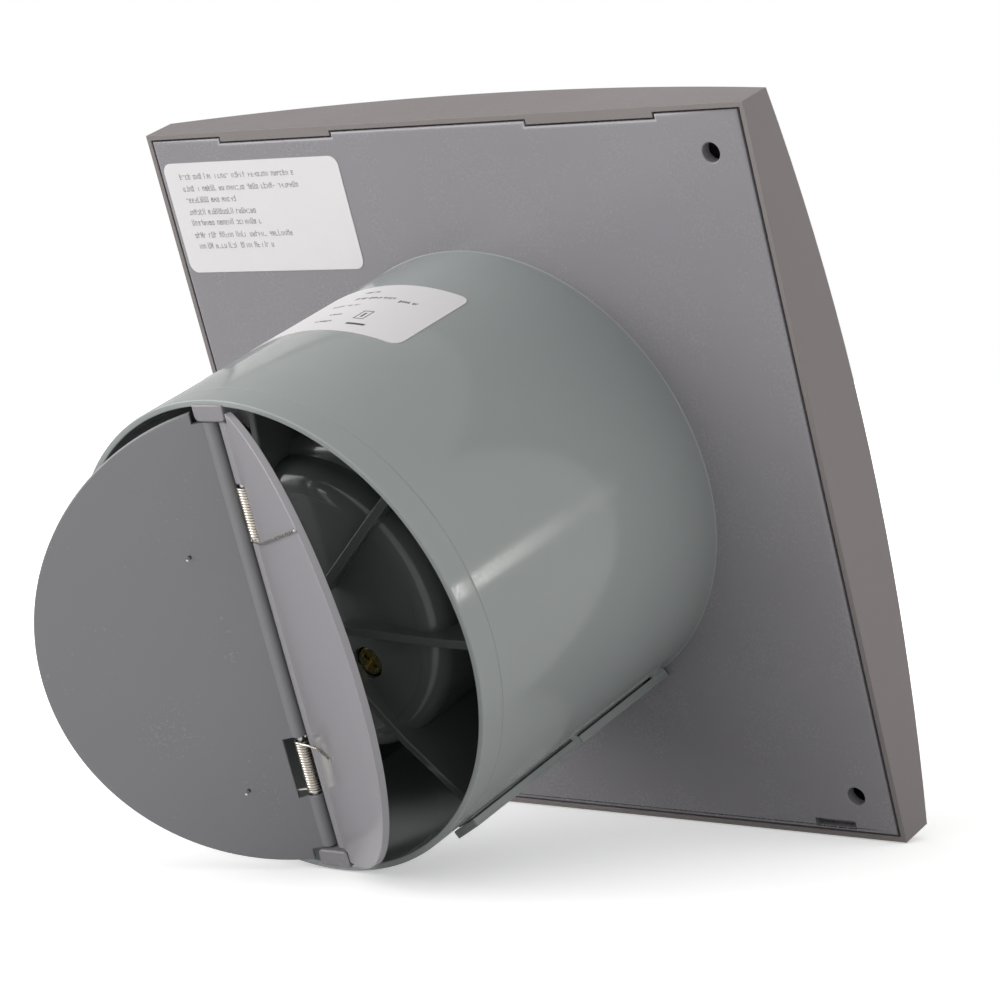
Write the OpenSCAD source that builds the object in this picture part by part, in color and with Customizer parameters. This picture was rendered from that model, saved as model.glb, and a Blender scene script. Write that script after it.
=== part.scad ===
// Bathroom extractor fan for a 100 mm duct, with a domed square front cover,
// a shaded-pole motor held in a ribbed cup inside the spigot, and a pair of
// sprung half-disc back-draught flaps at the mouth of the spigot.
// Origin: centre of the wall face of the base plate, on the fan axis.
// +Y points into the duct, -Y into the room, +Z is up. Units are millimetres.
// Front means the room side. Left (+X) and right (-X) are as seen from the duct.

/* [Front panel] */
// Width and height of the square front panel
panel_w = 156; // [152:1:170]
// Depth of the panel at the middle of its dome
panel_depth = 24.3; // [23.6:0.1:30]
// Spherical radius of the domed face
dome_r = 390; // [380:10:600]
// Wall thickness of the front cover
cover_wall = 1.8; // [1.6:0.1:2.2]
// Thickness of the cover's side lip around the base plate
lip_t = 1.1; // [1:0.1:1.4]
// Gap between the lip and the base plate
lip_gap = 0.4; // [0.3:0.1:0.6]

/* [Intake grille] */
// Number of louvre slots
louvre_n = 11; // [7:2:13]
// Width of the louvred area
louvre_w = 104; // [90:1:108]
// Height of one slot
slot_h = 3.4; // [2.6:0.1:4.4]
// Backward slope of the louvres, in degrees
louvre_tilt = 32; // [0:1:40]

/* [Base plate and spigot] */
// Thickness of the base plate
plate_t = 2.5; // [2.2:0.1:3]
// Outside diameter of the duct spigot
spigot_d = 99.6; // [99:0.1:100.2]
// Wall thickness of the spigot
spigot_wall = 1.3; // [1.1:0.1:1.5]
// Length of the spigot behind the wall face
spigot_len = 78.6; // [78:0.1:95]
// Distance between fixing-screw centres, both ways
screw_pitch = 136.7; // [134:0.1:137]
// Diameter of the fixing-screw holes
screw_hole_d = 4; // [3.5:0.1:4.5]
// Number of ribs that hold the motor cup
rib_n = 7; // [5:1:8]
// Thickness of a rib
rib_t = 2.2; // [1.8:0.1:2.6]

/* [Back-draught flaps] */
// How far the flap on the +X side stands open at rest, in degrees
flap_rest_px = 35.5; // [0:0.5:60]
// How far the flap on the -X side stands open at rest, in degrees
flap_rest_mx = 31; // [0:0.5:60]
// Flap thickness
flap_t = 1.5; // [1.2:0.1:1.8]
// Radial gap between a closed flap and the spigot
flap_gap = 0.9; // [0.6:0.1:1.4]
// Half the distance between the two hinge pins
hinge_x = 1.9; // [1.8:0.05:2]
// Diameter of a hinge pin
hinge_pin_d = 1.6; // [1.4:0.1:1.8]

/* [Impeller] */
// Number of blades
blade_n = 7; // [5:1:9]
// Blade pitch from the plane of rotation, in degrees
blade_pitch = 34; // [26:1:36]
// Running gap between blade tips and the spigot
tip_gap = 2; // [1.5:0.1:3]
// Hub diameter
hub_d = 44; // [40:1:48]

/* [Motor] */
// Thickness of the lamination stack
stack_t = 10; // [8:0.5:10]
// Air gap between rotor and stator
air_gap = 0.3; // [0.25:0.05:0.5]
// Motor shaft diameter
shaft_d = 3; // [2.8:0.1:3.2]
// Radial running clearance in the bearings
bearing_clear = 0.04; // [0.02:0.01:0.08]

/* [Hidden] */
$fn = 96;

panel_half = panel_w / 2;
plate_half = panel_half - lip_t - lip_gap;
dome_y = dome_r - panel_depth;       // centre of the dome's sphere
spigot_r = spigot_d / 2;
bore_r = spigot_r - spigot_wall;
screw_at = screw_pitch / 2;
band_y = spigot_len - 10.2;          // the duct slides on from here to the mouth
draft = 0.25;                        // how much wider the spigot is at its foot

// cover tabs in the top edge, latch tongues in the bottom edge
tab_x = 41.2;
tab_w = 30.8;
latch_x = 61.85;
latch_w = 8.8;

hinge_y = spigot_len - 1.7;          // hinge axes, behind the wall face
boss_z = bore_r - 3.1;               // hinge bosses reach down to here

cup_r = 30.5;                        // motor cup
cup_t = 1.8;
cup_front = 34;
cup_back = 57.6;                     // plane the motor is screwed against
cup_end = 66;                        // outside of the cup's end wall
mount_seat = 63.2;                   // where the motor mounting screws sit
mount_r = 14.5;                      // motor mounting screws, distance and angle
mount_a = -45;

stack_y0 = 42;                       // front and back of the lamination stack
stack_y1 = stack_y0 + stack_t;
shaft_r = shaft_d / 2;

chan_a = -60;                        // wire channel, angle from -X towards +Z
term_x = 56;                         // terminal block centre
term_z = -44;
clamp_z = term_z - 13.6;             // cable clamp screws
clamp_screw_x = 7.5;

// ---------------------------------------------------------------- helpers
// Cutting shapes run a little past the faces they cut.

// Draws a flat shape given in X and Z, thick from front to back along Y.
module slab(front, back) {
    translate([0, back, 0]) rotate([90, 0, 0]) linear_extrude(back - front) children();
}

// Cylinder along Y.
module ycyl(radius, front, back, x = 0, z = 0, facets = 96) {
    translate([x, front, z]) rotate([-90, 0, 0])
        cylinder(r = radius, h = back - front, $fn = facets);
}

// Turns something drawn along +X to an angle round the fan axis, counted from -X towards +Z.
module at_angle(angle) {
    rotate([0, 180 + angle, 0]) children();
}

// Rectangle with round corners, made of true arcs.
module round_rect(x0, x1, z0, z1, radius) {
    translate([x0 + radius, z0]) square([x1 - x0 - 2 * radius, z1 - z0]);
    translate([x0, z0 + radius]) square([x1 - x0, z1 - z0 - 2 * radius]);
    for (x = [x0 + radius, x1 - radius], z = [z0 + radius, z1 - radius])
        translate([x, z]) circle(r = radius, $fn = 48);
}

// Both motor mounting screws; children lie at [mount_r, y, 0].
module at_mounts() {
    for (turn = [0, 180]) rotate([0, turn, 0]) at_angle(mount_a) children();
}

module at_clamp_screws() {
    for (s = [-1, 1]) translate([term_x + s * clamp_screw_x, 0, clamp_z]) children();
}

// ---------------------------------------------------------------- housing

rim_front = -6.9;                    // stiffening wall at the front of the plate
rim_inset = 0.3;
rim_t = 1.5;
chan_open_w = 5.4;                   // wire openings in the spigot and the plate
lobe_x = 23;                         // coil lobe on the cup, half width and height
lobe_z = 34;
lobe_corner = 7;
cup_bevel = 3;                       // bevel round the cup's end wall
first_rib_a = -59.5;
mount_hole_r = 1.6;
hinge_boss = [7.8, 4.8, 4];

// Motor cup rib, deep at the cup and sloping to the spigot wall: [distance from axis, y].
rib_outline = [
    [9, cup_end - 1], [cup_r - 1, cup_end - 3], [cup_r - 1, cup_front + 0.4],
    [bore_r + 0.6, cup_front + 0.4], [bore_r + 0.6, 63.2],
    [cup_r, 67.4], [12, 70], [9, 69.6]
];

module plate_body() {
    slab(-plate_t, 0) square(2 * plate_half, center = true);
    difference() {
        slab(rim_front, -plate_t) square(2 * (plate_half - rim_inset), center = true);
        slab(-8, -plate_t + 0.5) square(2 * (plate_half - rim_inset - rim_t), center = true);
    }
    // bosses for the cable clamp and the terminal block
    at_clamp_screws() ycyl(2.6, -6, -plate_t, facets = 48);
    ycyl(2.4, -4.2, -plate_t, term_x, term_z, 48);
}

module spigot_body() {
    // a slight draft up to the true round band at the mouth
    ycyl(spigot_r, band_y, spigot_len);
    rotate([-90, 0, 0]) cylinder(r1 = spigot_r + draft, r2 = spigot_r, h = band_y, $fn = 96);
    // intake collar on the room side
    ycyl(bore_r + 2.4, -6.5, 0);
    // raised ring at the foot of the spigot
    ycyl(spigot_r + 0.56, -1, 0.6);
    // seat of the wire-channel cover
    for (s = [-1, 1]) at_angle(chan_a)
        translate([spigot_r - 0.8, 26.9, s * 3.65 - 0.55]) cube([1.22, 2, 1.1]);
}

module plate_cuts() {
    // screw holes in the corners
    for (x = [-1, 1], z = [-1, 1])
        ycyl(screw_hole_d / 2, -5, 1, x * screw_at, z * screw_at, 48);
    for (s = [-1, 1]) {
        // notch in the top edge for a cover tab, slot in the bottom edge for a latch
        translate([s * tab_x - tab_w / 2 - 0.4, -9, plate_half - 1.1])
            cube([tab_w + 0.8, 10, 3]);
        translate([s * latch_x - latch_w / 2 - 0.45, -9, -plate_half + 0.7])
            cube([latch_w + 0.9, 10, 1.6]);
    }
    // cable entry
    translate([term_x - 4.5, -9, -71]) cube([9, 10, 6.5]);
    // pilot holes of the cable clamp
    at_clamp_screws() ycyl(1.05, -7, -3.4, facets = 32);
    // openings that lead the wires into and out of the channel
    at_angle(chan_a) {
        translate([bore_r - 2, 34.6, -chan_open_w / 2]) cube([6, 6.4, chan_open_w]);
        translate([spigot_r + 0.32, -8, -chan_open_w / 2]) cube([2.88, 10, chan_open_w]);
    }
}

module cup_outline(grow) {
    circle(r = cup_r + grow);
    round_rect(-lobe_x - grow, lobe_x + grow, 0, lobe_z + grow, lobe_corner + grow);
}

module cup_rib(angle) {
    at_angle(angle) translate([0, 0, -rib_t / 2]) linear_extrude(rib_t) polygon(rib_outline);
}

module motor_cup() {
    difference() {
        union() {
            slab(cup_front, cup_back + cup_t) cup_outline(0);
            ycyl(cup_r - 0.4, cup_back + 0.6, cup_end - cup_bevel);
            translate([0, cup_end - cup_bevel, 0]) rotate([-90, 0, 0])
                cylinder(r1 = cup_r - 0.4, r2 = cup_r - 0.4 - cup_bevel, h = cup_bevel, $fn = 96);
            for (i = [0 : rib_n - 1]) cup_rib(first_rib_a + i * 360 / rib_n);
        }
        slab(cup_front - 1, cup_back) cup_outline(-cup_t);
        ycyl(cup_r - 4, cup_back - 1, cup_end - cup_t);
        at_mounts() {
            ycyl(mount_hole_r, cup_back - 4, cup_end + 1, mount_r, 0, 32);
            ycyl(3.3, mount_seat, cup_end + 6, mount_r, 0, 48);
        }
        // way out for the leads, past the cup wall and the rib beside it
        at_angle(chan_a) translate([cup_r - 4, 33, -2.6]) cube([bore_r - cup_r + 5, 8, 5.2]);
    }
}

// Bosses inside the cup that the motor is screwed against.
module mount_bosses() {
    at_mounts() difference() {
        ycyl(4.2, cup_back - 2.1, cup_end - 1, mount_r, 0, 48);
        ycyl(mount_hole_r, cup_back - 4, cup_end, mount_r, 0, 32);
        ycyl(3.4, mount_seat, cup_end, mount_r, 0, 48);
    }
}

// Top and bottom bosses at the mouth, each with a hole for either hinge pin.
module hinge_bosses() {
    for (s = [-1, 1]) difference() {
        intersection() {
            translate([-hinge_boss.x / 2, hinge_y - hinge_boss.y / 2,
                       s > 0 ? boss_z : -boss_z - hinge_boss.z])
                cube(hinge_boss);
            ycyl(bore_r + 0.6, hinge_y - 3, hinge_y + 4);
        }
        for (x = [-hinge_x, hinge_x])
            translate([x, hinge_y, s > 0 ? boss_z - 1 : -boss_z - 2.8])
                cylinder(d = hinge_pin_d + 0.06, h = 3.8, $fn = 32);
    }
}

module housing() color([0.55, 0.56, 0.57]) {
    difference() {
        union() {
            plate_body();
            spigot_body();
        }
        ycyl(bore_r, -8, spigot_len + 1);
        plate_cuts();
    }
    motor_cup();
    mount_bosses();
    hinge_bosses();
}

strip_gap = 0.45;                    // from the spigot to the channel cover
strip_t = 1.65;
strip_w = 6.8;

// Strip that closes the wire channel along the outside of the spigot. It has a
// narrow waist, and its foot by the base plate reaches in closer to the spigot.
module channel_cover() color([0.57, 0.58, 0.58])
    at_angle(chan_a) difference() {
        union() {
            // [y from, y to, width]
            for (part = [[5, 32, strip_w], [31, 34, 6], [33, 67.4, strip_w]])
                translate([spigot_r + strip_gap, part[0], -part[2] / 2])
                    cube([strip_t, part[1] - part[0], part[2]]);
            translate([spigot_r + draft + 0.03, 5, -strip_w / 2]) cube([1, 3, strip_w]);
        }
        translate([spigot_r - 1, 1, -2.5]) cube([2.6, 65.2, 5]);
    }

// ---------------------------------------------------------------- front cover

louvre_step = louvre_w / louvre_n;
bay_w = louvre_w / 3;                // the louvres lie in three bays
bay_bar = 4;                         // bar left between two bays
vane_t = 1.4;
vane_len = 11;

// Square block under the dome; thin is how far the dome's radius is reduced.
module cover_block(inset, thin, back) {
    intersection() {
        translate([-panel_half + inset, -panel_depth - 2, -panel_half + inset])
            cube([panel_w - 2 * inset, panel_depth + 2 + back, panel_w - 2 * inset]);
        translate([0, dome_y, 0]) sphere(r = dome_r - thin, $fn = 180);
    }
}

module louvre_slots() {
    for (i = [0 : louvre_n - 1], bay = [-1 : 1])
        translate([bay * bay_w - (bay_w - bay_bar) / 2, -panel_depth + 2,
                   (i - (louvre_n - 1) / 2) * louvre_step])
            rotate([louvre_tilt, 0, 0])
                translate([0, -12, -slot_h / 2]) cube([bay_w - bay_bar, 24, slot_h]);
}

// Vanes that carry each louvre back behind the face.
module louvre_vanes() {
    intersection() {
        for (i = [0 : louvre_n])
            translate([-louvre_w / 2 - 1, -panel_depth + 0.4, (i - louvre_n / 2) * louvre_step])
                rotate([louvre_tilt, 0, 0])
                    translate([0, 0, -vane_t / 2]) cube([louvre_w + 2, vane_len, vane_t]);
        translate([0, dome_y, 0]) sphere(r = dome_r - 0.9, $fn = 180);
        translate([-70, -panel_depth, -70]) cube([140, 9.5, 140]);
    }
}

module front_cover() color([0.52, 0.48, 0.47]) {
    difference() {
        cover_block(inset = 0, thin = 0, back = -0.2);
        cover_block(inset = lip_t, thin = cover_wall, back = 1);
        louvre_slots();
    }
    louvre_vanes();
    for (s = [-1, 1]) {
        // tab in the top edge of the base plate
        translate([s * tab_x - tab_w / 2, -8, plate_half - 0.7]) cube([tab_w, 7.8, 1.4]);
        // latch tongue that enters the slot in the bottom edge, and its root on the lip
        translate([s * latch_x - latch_w / 2, -10.4, -plate_half + 1]) {
            cube([latch_w, 8.8, 1.0]);
            translate([0, 0, -1.7]) cube([latch_w, 2.5, 2.4]);
        }
    }
}

// ---------------------------------------------------------------- impeller group

hub_r = hub_d / 2;
blade_r = bore_r - tip_gap;
hub_front = 8;                       // the cylinder of the hub
hub_back = 30;
nose_y = 4;                          // tip of the hub's domed nose
nose_r = 64;
blade_mid_y = 19.5;
blade_depth = 20;                    // along the axis
blade_t = 1.6;
blade_chord = 34;                    // before trimming to the depth
stiffener_t = 1.4;

module hub_shell() {
    difference() {
        union() {
            ycyl(hub_r, hub_front, hub_back);
            intersection() {
                translate([0, nose_y + nose_r, 0]) sphere(r = nose_r, $fn = 96);
                ycyl(hub_r, 2, hub_front + 1);
            }
        }
        ycyl(hub_r - 1.8, hub_front + 2, hub_back + 1);
    }
}

module blades() {
    intersection() {
        for (i = [0 : blade_n - 1]) rotate([0, i * 360 / blade_n, 0])
            translate([0, blade_mid_y, 0]) rotate([blade_pitch, 0, 0])
                translate([hub_r - 1, -blade_t / 2, -blade_chord / 2])
                    cube([blade_r, blade_t, blade_chord]);
        difference() {
            ycyl(blade_r, blade_mid_y - blade_depth / 2, blade_mid_y + blade_depth / 2);
            ycyl(hub_r - 0.9, 9, 30);
        }
    }
}

module impeller() color([0.45, 0.44, 0.48]) {
    difference() {
        union() {
            hub_shell();
            // boss on the shaft
            ycyl(4.4, 7, 29);
            // stiffeners inside the hub
            for (angle = [0 : 60 : 300]) rotate([0, angle, 0])
                translate([4, 9, -stiffener_t / 2]) cube([hub_r - 5, 9, stiffener_t]);
            blades();
        }
        ycyl(shaft_r, 0, 31, facets = 48);
    }
}

module shaft_clip() color([0.75, 0.76, 0.78])
    difference() {
        ycyl(4.2, 2.7, 3.5, facets = 48);
        ycyl(shaft_r, 2, 4.5, facets = 48);
    }

module motor_shaft() color([0.78, 0.79, 0.8])
    ycyl(shaft_r, 2, 56.6, facets = 48);

rotor_r = 10;
end_ring_t = 1;
washer_t = 0.5;

module rotor_core() color([0.5, 0.51, 0.53])
    difference() {
        union() {
            ycyl(rotor_r, stack_y0, stack_y1);
            // end rings of the cage
            for (y = [stack_y0 - end_ring_t, stack_y1]) difference() {
                ycyl(rotor_r - 0.6, y, y + end_ring_t);
                ycyl(rotor_r - 4, y - 1, y + end_ring_t + 1);
            }
        }
        ycyl(shaft_r, stack_y0 - 2, stack_y1 + 2, facets = 48);
    }

module thrust_washers() color([0.86, 0.82, 0.7])
    for (y = [40.9, stack_y1 + 0.6]) difference() {
        ycyl(3.2, y, y + washer_t, facets = 48);
        ycyl(shaft_r + 0.02, y - 1, y + 1, facets = 48);
    }

// ---------------------------------------------------------------- motor, fixed parts

stack_half = 20;                     // half width of laminations and brackets
stack_bottom = -15;
core_z0 = 20;                        // leg of the stack that carries the coil
core_z1 = 27;
core_h = core_z1 - core_z0;
window = [25, 6];                    // opening under the coil leg
shade_x = 12.2;                      // shading rings, centres and size
shade_z = 7;
shade_w = 1.4;
shade_h = 6.2;
shade_gap = 0.1;                     // slot around a shading ring

bobbin_half = 12.2;
flange_t = 1;
flange_grow = [4.6, 4.2];            // beyond the coil leg, in y and z
winding_half = 11.1;
winding_grow = [4, 3.6];

motor_screw_x = 16;                  // screws that clamp the motor together
motor_hole_r = 1.6;
post_r = 3.2;                        // posts between brackets and stack
front_plate = [38.6, 40.1];          // front and back of the bracket plates
rear_plate = [stack_y1 + 1.9, 55.4];
bearing_seat_r = 3.5;
bearing_cup_r = 5.2;
bearing_front = 36.2;

module at_motor_screws() {
    for (s = [-1, 1]) translate([s * motor_screw_x, 0, 0]) children();
}

module at_shading_rings() {
    for (s = [-1, 1]) translate([s * shade_x, 0, s * shade_z]) children();
}

// Box along X around the coil leg.
module core_box(half_w, grow_y, grow_z) {
    translate([-half_w, stack_y0 - grow_y, core_z0 - grow_z])
        cube([2 * half_w, stack_t + 2 * grow_y, core_h + 2 * grow_z]);
}

module stator_stack() color([0.42, 0.43, 0.45])
    difference() {
        slab(stack_y0, stack_y1) round_rect(-stack_half, stack_half, stack_bottom, core_z1, 3);
        slab(stack_y0 - 1, stack_y1 + 1)
            translate([-window.x / 2, core_z0 - window.y]) square(window);
        ycyl(rotor_r + air_gap, stack_y0 - 1, stack_y1 + 1);
        at_motor_screws() ycyl(motor_hole_r, stack_y0 - 1, stack_y1 + 1, facets = 32);
        // slots for the shading rings
        at_shading_rings()
            translate([-shade_w / 2 - shade_gap, stack_y0 - 1, -shade_h / 2 - shade_gap])
                cube([shade_w + 2 * shade_gap, stack_t + 2, shade_h + 2 * shade_gap]);
    }

module shading_rings() color([0.8, 0.5, 0.32])
    at_shading_rings() difference() {
        translate([-shade_w / 2, stack_y0 - 1.2, -shade_h / 2])
            cube([shade_w, stack_t + 2.4, shade_h]);
        translate([-1, stack_y0 - 0.05, -1.7]) cube([2, stack_t + 0.1, 3.4]);
    }

module coil_bobbin() color([0.9, 0.88, 0.82])
    difference() {
        union() {
            core_box(bobbin_half, 1, 0.95);
            for (x = [-bobbin_half, bobbin_half - flange_t])
                translate([x, 0, 0]) rotate([0, 90, 0]) linear_extrude(flange_t)
                    translate([-core_z1 - flange_grow[1], stack_y0 - flange_grow[0]])
                        square([core_h + 2 * flange_grow[1], stack_t + 2 * flange_grow[0]]);
        }
        core_box(15, 0.05, 0.05);
    }

module coil_winding() color([0.72, 0.4, 0.22])
    difference() {
        translate([-winding_half, 0, 0]) rotate([0, 90, 0]) linear_extrude(2 * winding_half)
            round_rect(-core_z1 - winding_grow[1], -core_z0 + winding_grow[1],
                       stack_y0 - winding_grow[0], stack_y1 + winding_grow[0], 3);
        core_box(15, 1.02, 0.97);
    }

module bracket_outline() {
    round_rect(-stack_half, stack_half, -5, 5, 2.5);
    circle(r = 9, $fn = 64);
}

module front_bracket() color([0.74, 0.75, 0.76])
    difference() {
        union() {
            slab(front_plate[0], front_plate[1]) bracket_outline();
            ycyl(bearing_cup_r, bearing_front, front_plate[1], facets = 64);
            at_motor_screws() ycyl(post_r, front_plate[1], stack_y0, facets = 48);
        }
        ycyl(bearing_seat_r, 35, 41, facets = 64);
        at_motor_screws() ycyl(motor_hole_r, 36, stack_y0 + 1, facets = 32);
    }

module rear_bracket() color([0.74, 0.75, 0.76])
    difference() {
        union() {
            slab(rear_plate[0], rear_plate[1]) {
                bracket_outline();
                // arms out to the mounting screws
                for (turn = [0, 180]) rotate(turn) {
                    translate([-mount_r * cos(mount_a), mount_r * sin(mount_a)])
                        circle(r = 4, $fn = 48);
                    rotate(180 - mount_a) translate([4, -4]) square([mount_r - 4, 8]);
                }
            }
            ycyl(bearing_cup_r, rear_plate[0], cup_back - 0.3, facets = 64);
            at_motor_screws() ycyl(post_r, stack_y1, stack_y1 + 2, facets = 48);
        }
        ycyl(bearing_seat_r, stack_y1 + 1, cup_back + 1, facets = 64);
        at_motor_screws() ycyl(motor_hole_r, stack_y1 - 1, 57, facets = 32);
        at_mounts() ycyl(1.3, stack_y1, 57, mount_r, 0, 32);
    }

module bearing(front, back) {
    difference() {
        ycyl(bearing_seat_r - 0.02, front, back, facets = 64);
        ycyl(shaft_r + bearing_clear, front - 1, back + 1, facets = 64);
    }
}
module front_bearing() color([0.72, 0.53, 0.3]) bearing(bearing_front, 40.2);
module rear_bearing() color([0.72, 0.53, 0.3]) bearing(stack_y1 + 1.6, stack_y1 + 5.2);

// Slotted heads at the front, hexagon nuts at the back.
module motor_screws() color([0.8, 0.8, 0.82])
    at_motor_screws() {
        ycyl(1.5, 37.6, 56.2, facets = 32);
        difference() {
            ycyl(2.7, 36.9, front_plate[0] - 0.05, facets = 48);
            translate([-3, 36, -0.35]) cube([6, 1.6, 0.7]);
        }
        translate([0, rear_plate[1] + 0.02, 0]) rotate([-90, 0, 0])
            cylinder(r = 2.9, h = 1.3, $fn = 6);
    }

// Cross-slotted screws, put in from the duct side.
module motor_mount_screws() color([0.78, 0.62, 0.28])
    at_mounts() difference() {
        union() {
            ycyl(1.25, stack_y1 + 1.2, mount_seat + 0.5, mount_r, 0, 32);
            ycyl(2.8, mount_seat + 0.02, mount_seat + 1.9, mount_r, 0, 48);
        }
        translate([mount_r - 2, mount_seat + 0.9, -0.4]) cube([4, 2, 0.8]);
        translate([mount_r - 0.4, mount_seat + 0.9, -2]) cube([0.8, 2, 4]);
    }

// ---------------------------------------------------------------- back-draught valve

flap_r = bore_r - flap_gap;
barrel_r = 1.6;
barrel_end = bore_r - 3.4;           // barrels end below the hinge bosses
notch_u = 3.6;                       // flap corner cut away around a boss
band_upper = [20.2, 32.4];           // height bands of the springs
band_lower = [-33.9, -21.2];
hook_upper = [11, 19.4];             // spring holes in the left flap, [u, z]
hook_lower = [12.6, -30.2];

wire_r = 0.3;
coil_r = 1.25;                       // mean radius of the spring coils
coil_steps = 12;                     // points per turn
coil_pitch = 2 * wire_r + 0.05;
leg_v = flap_t / 2 + wire_r + 0.12;  // from the flap's mid plane to a spring leg
hook_v = flap_t / 2 + 1.9;           // end of a leg that passes through the flap

// One flap, hinged on Z at its own origin, lying towards +X.
module flap(spring_band) {
    difference() {
        union() {
            slab(-flap_t / 2, flap_t / 2) difference() {
                intersection() {
                    translate([-hinge_x, 0]) circle(r = flap_r, $fn = 128);
                    translate([0.6, -60]) square([60, 120]);
                }
                for (s = [-1, 1])
                    translate([-1, s > 0 ? barrel_end : -barrel_end - 5])
                        square([notch_u + 1, 5]);
            }
            translate([0, 0, -barrel_end]) cylinder(r = barrel_r, h = 2 * barrel_end, $fn = 48);
        }
        translate([0, 0, -60]) cylinder(d = hinge_pin_d + 0.1, h = 120, $fn = 48);
        // room for the spring
        translate([-3, -3, spring_band[0]]) cube([6.4, 6, spring_band[1] - spring_band[0]]);
    }
}

module valve_flap_left() color([0.5, 0.5, 0.52])
    translate([hinge_x, hinge_y, 0]) rotate([0, 0, flap_rest_px]) difference() {
        flap(band_lower);
        for (hook = [hook_upper, hook_lower])
            translate([hook[0], -2, hook[1]]) rotate([-90, 0, 0])
                cylinder(r = 0.5, h = 4, $fn = 24);
    }

module valve_flap_right() color([0.56, 0.55, 0.57])
    translate([-hinge_x, hinge_y, 0]) rotate([0, 0, -flap_rest_mx])
        mirror([1, 0, 0]) flap(band_upper);

module hinge_pin(x) {
    translate([x, hinge_y, -boss_z - 2.6])
        cylinder(d = hinge_pin_d, h = 2 * boss_z + 5.2, $fn = 48);
}
module valve_pin_left() color([0.75, 0.75, 0.76]) hinge_pin(hinge_x);
module valve_pin_right() color([0.75, 0.75, 0.76]) hinge_pin(-hinge_x);

// Point in flap coordinates: u outward from the hinge pin, v from the flap's mid
// plane towards the duct. Side is 1 for the left flap and -1 for the right.
function on_flap(side, u, v, z) =
    let (rest = side > 0 ? flap_rest_px : flap_rest_mx)
    [side * (hinge_x + u * cos(rest) - v * sin(rest)),
     hinge_y + u * sin(rest) + v * cos(rest), z];
function on_left(u, v, z) = on_flap(1, u, v, z);
function on_right(u, v, z) = on_flap(-1, u, v, z);

function unit(vec) = vec / norm(vec);
// Part of vec that is square to axis, at unit length.
function square_to(vec, axis) = unit(vec - (vec * axis) * axis);
// Step from a corner towards its neighbour, at most cut long.
function cut_back(corner, next, cut) =
    unit(next - corner) * min(cut, norm(next - corner) * 0.4);
// Cuts each corner of a path back and adds a point in between.
function eased(path, cut) = [for (i = [0 : len(path) - 1]) each
    (i == 0 || i == len(path) - 1) ? [path[i]] :
    let (before = cut_back(path[i], path[i - 1], cut),
         after = cut_back(path[i], path[i + 1], cut))
    [path[i] + before, path[i] + (before + after) * 0.27, path[i] + after]];

// Round wire along a list of points. The section's first axis is carried along
// from point to point, so the skin doesn't twist.
module wire(path, radius, sides) {
    count = len(path);
    tangents = [for (i = [0 : count - 1])
        unit(path[min(i + 1, count - 1)] - path[max(i - 1, 0)])];
    start = abs(tangents[0][2]) < 0.9 ? [0, 0, 1] : [1, 0, 0];
    normals = [for (i = 0, normal = square_to(start, tangents[0]); i < count;
                    i = i + 1, normal = i < count ? square_to(normal, tangents[i]) : normal)
        normal];
    points = [for (i = [0 : count - 1], j = [0 : sides - 1])
        path[i] + radius * (cos(j * 360 / sides) * normals[i]
                            + sin(j * 360 / sides) * cross(tangents[i], normals[i]))];
    skin = [for (i = [0 : count - 2], j = [0 : sides - 1]) each
        let (this = i * sides + j, next = i * sides + (j + 1) % sides)
        [[this, this + sides, next + sides], [this, next + sides, next]]];
    first_cap = [for (j = [0 : sides - 1]) j];
    last_cap = [for (j = [sides - 1 : -1 : 0]) (count - 1) * sides + j];
    polyhedron(points, concat(skin, [first_cap, last_cap]), convexity = 10);
}

// Coils round one hinge pin, from the bottom up; extra is the points past whole turns.
function coil_points(side, band, extra) =
    let (turns = floor((band[1] - band[0] - 1.3) / coil_pitch))
    [for (k = [0 : turns * coil_steps + extra])
        let (angle = -side * (90 + k * 360 / coil_steps))
        on_flap(side, coil_r * cos(angle), coil_r * sin(angle),
                band[0] + 0.7 + coil_pitch * k / coil_steps)];

module spring(lower_leg, coil, upper_leg) {
    wire(concat(eased(lower_leg, 1), coil, eased(upper_leg, 0.8)), wire_r, 6);
}

// Upper spring, round the right-hand pin. One leg lies on the duct face of the right
// flap; the other runs on the room side of the left flap and ends through its hole.
module valve_spring_upper() color([0.62, 0.52, 0.36]) {
    coil = coil_points(-1, band_upper, 2);
    top = coil[len(coil) - 1][2];
    spring(
        [on_right(33.4, leg_v, 31.7), on_right(32.4, leg_v, 31.3),
         on_right(5, leg_v, 21.0), on_right(1, coil_r, coil[0][2])],
        coil,
        [[-0.65, hinge_y - 0.5, top], [-0.62, hinge_y - 2.5, top - 1.2],
         [2.4, hinge_y - 2.7, top - 4], on_left(4.6, -leg_v - 0.1, 26.5),
         on_left(hook_upper[0], -leg_v, hook_upper[1]), on_left(11.2, hook_v, 19.5)]);
}

// Lower spring, round the left-hand pin, with its legs on the same faces.
module valve_spring_lower() color([0.62, 0.52, 0.36]) {
    coil = coil_points(1, band_lower, 4);
    bottom = coil[0][2];
    top = coil[len(coil) - 1][2];
    spring(
        [on_left(12.8, hook_v, -30.1), on_left(hook_lower[0], -leg_v, hook_lower[1]),
         on_left(5, -leg_v, bottom + 0.6), on_left(1, -coil_r, bottom)],
        coil,
        [[0.5, hinge_y + 1.1, top + 0.05], [-0.2, hinge_y + 2.4, top + 0.1],
         [-2.2, hinge_y + 2.6, top + 0.1], on_right(5, leg_v, top), on_right(12, leg_v, top)]);
}

// ---------------------------------------------------------------- wiring

pole_x = 4.5;                        // contacts either side of the block's centre
pole_y = -8.6;                       // axis of the contacts
term_screw_z = 3;                    // screws above and below the centre
lead_r = 0.5;

module at_poles() {
    for (s = [-1, 1]) translate([term_x + s * pole_x, 0, term_z]) children();
}

module at_terminal_screws() {
    at_poles() for (z = [-term_screw_z, term_screw_z]) translate([0, 0, z]) children();
}

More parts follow.
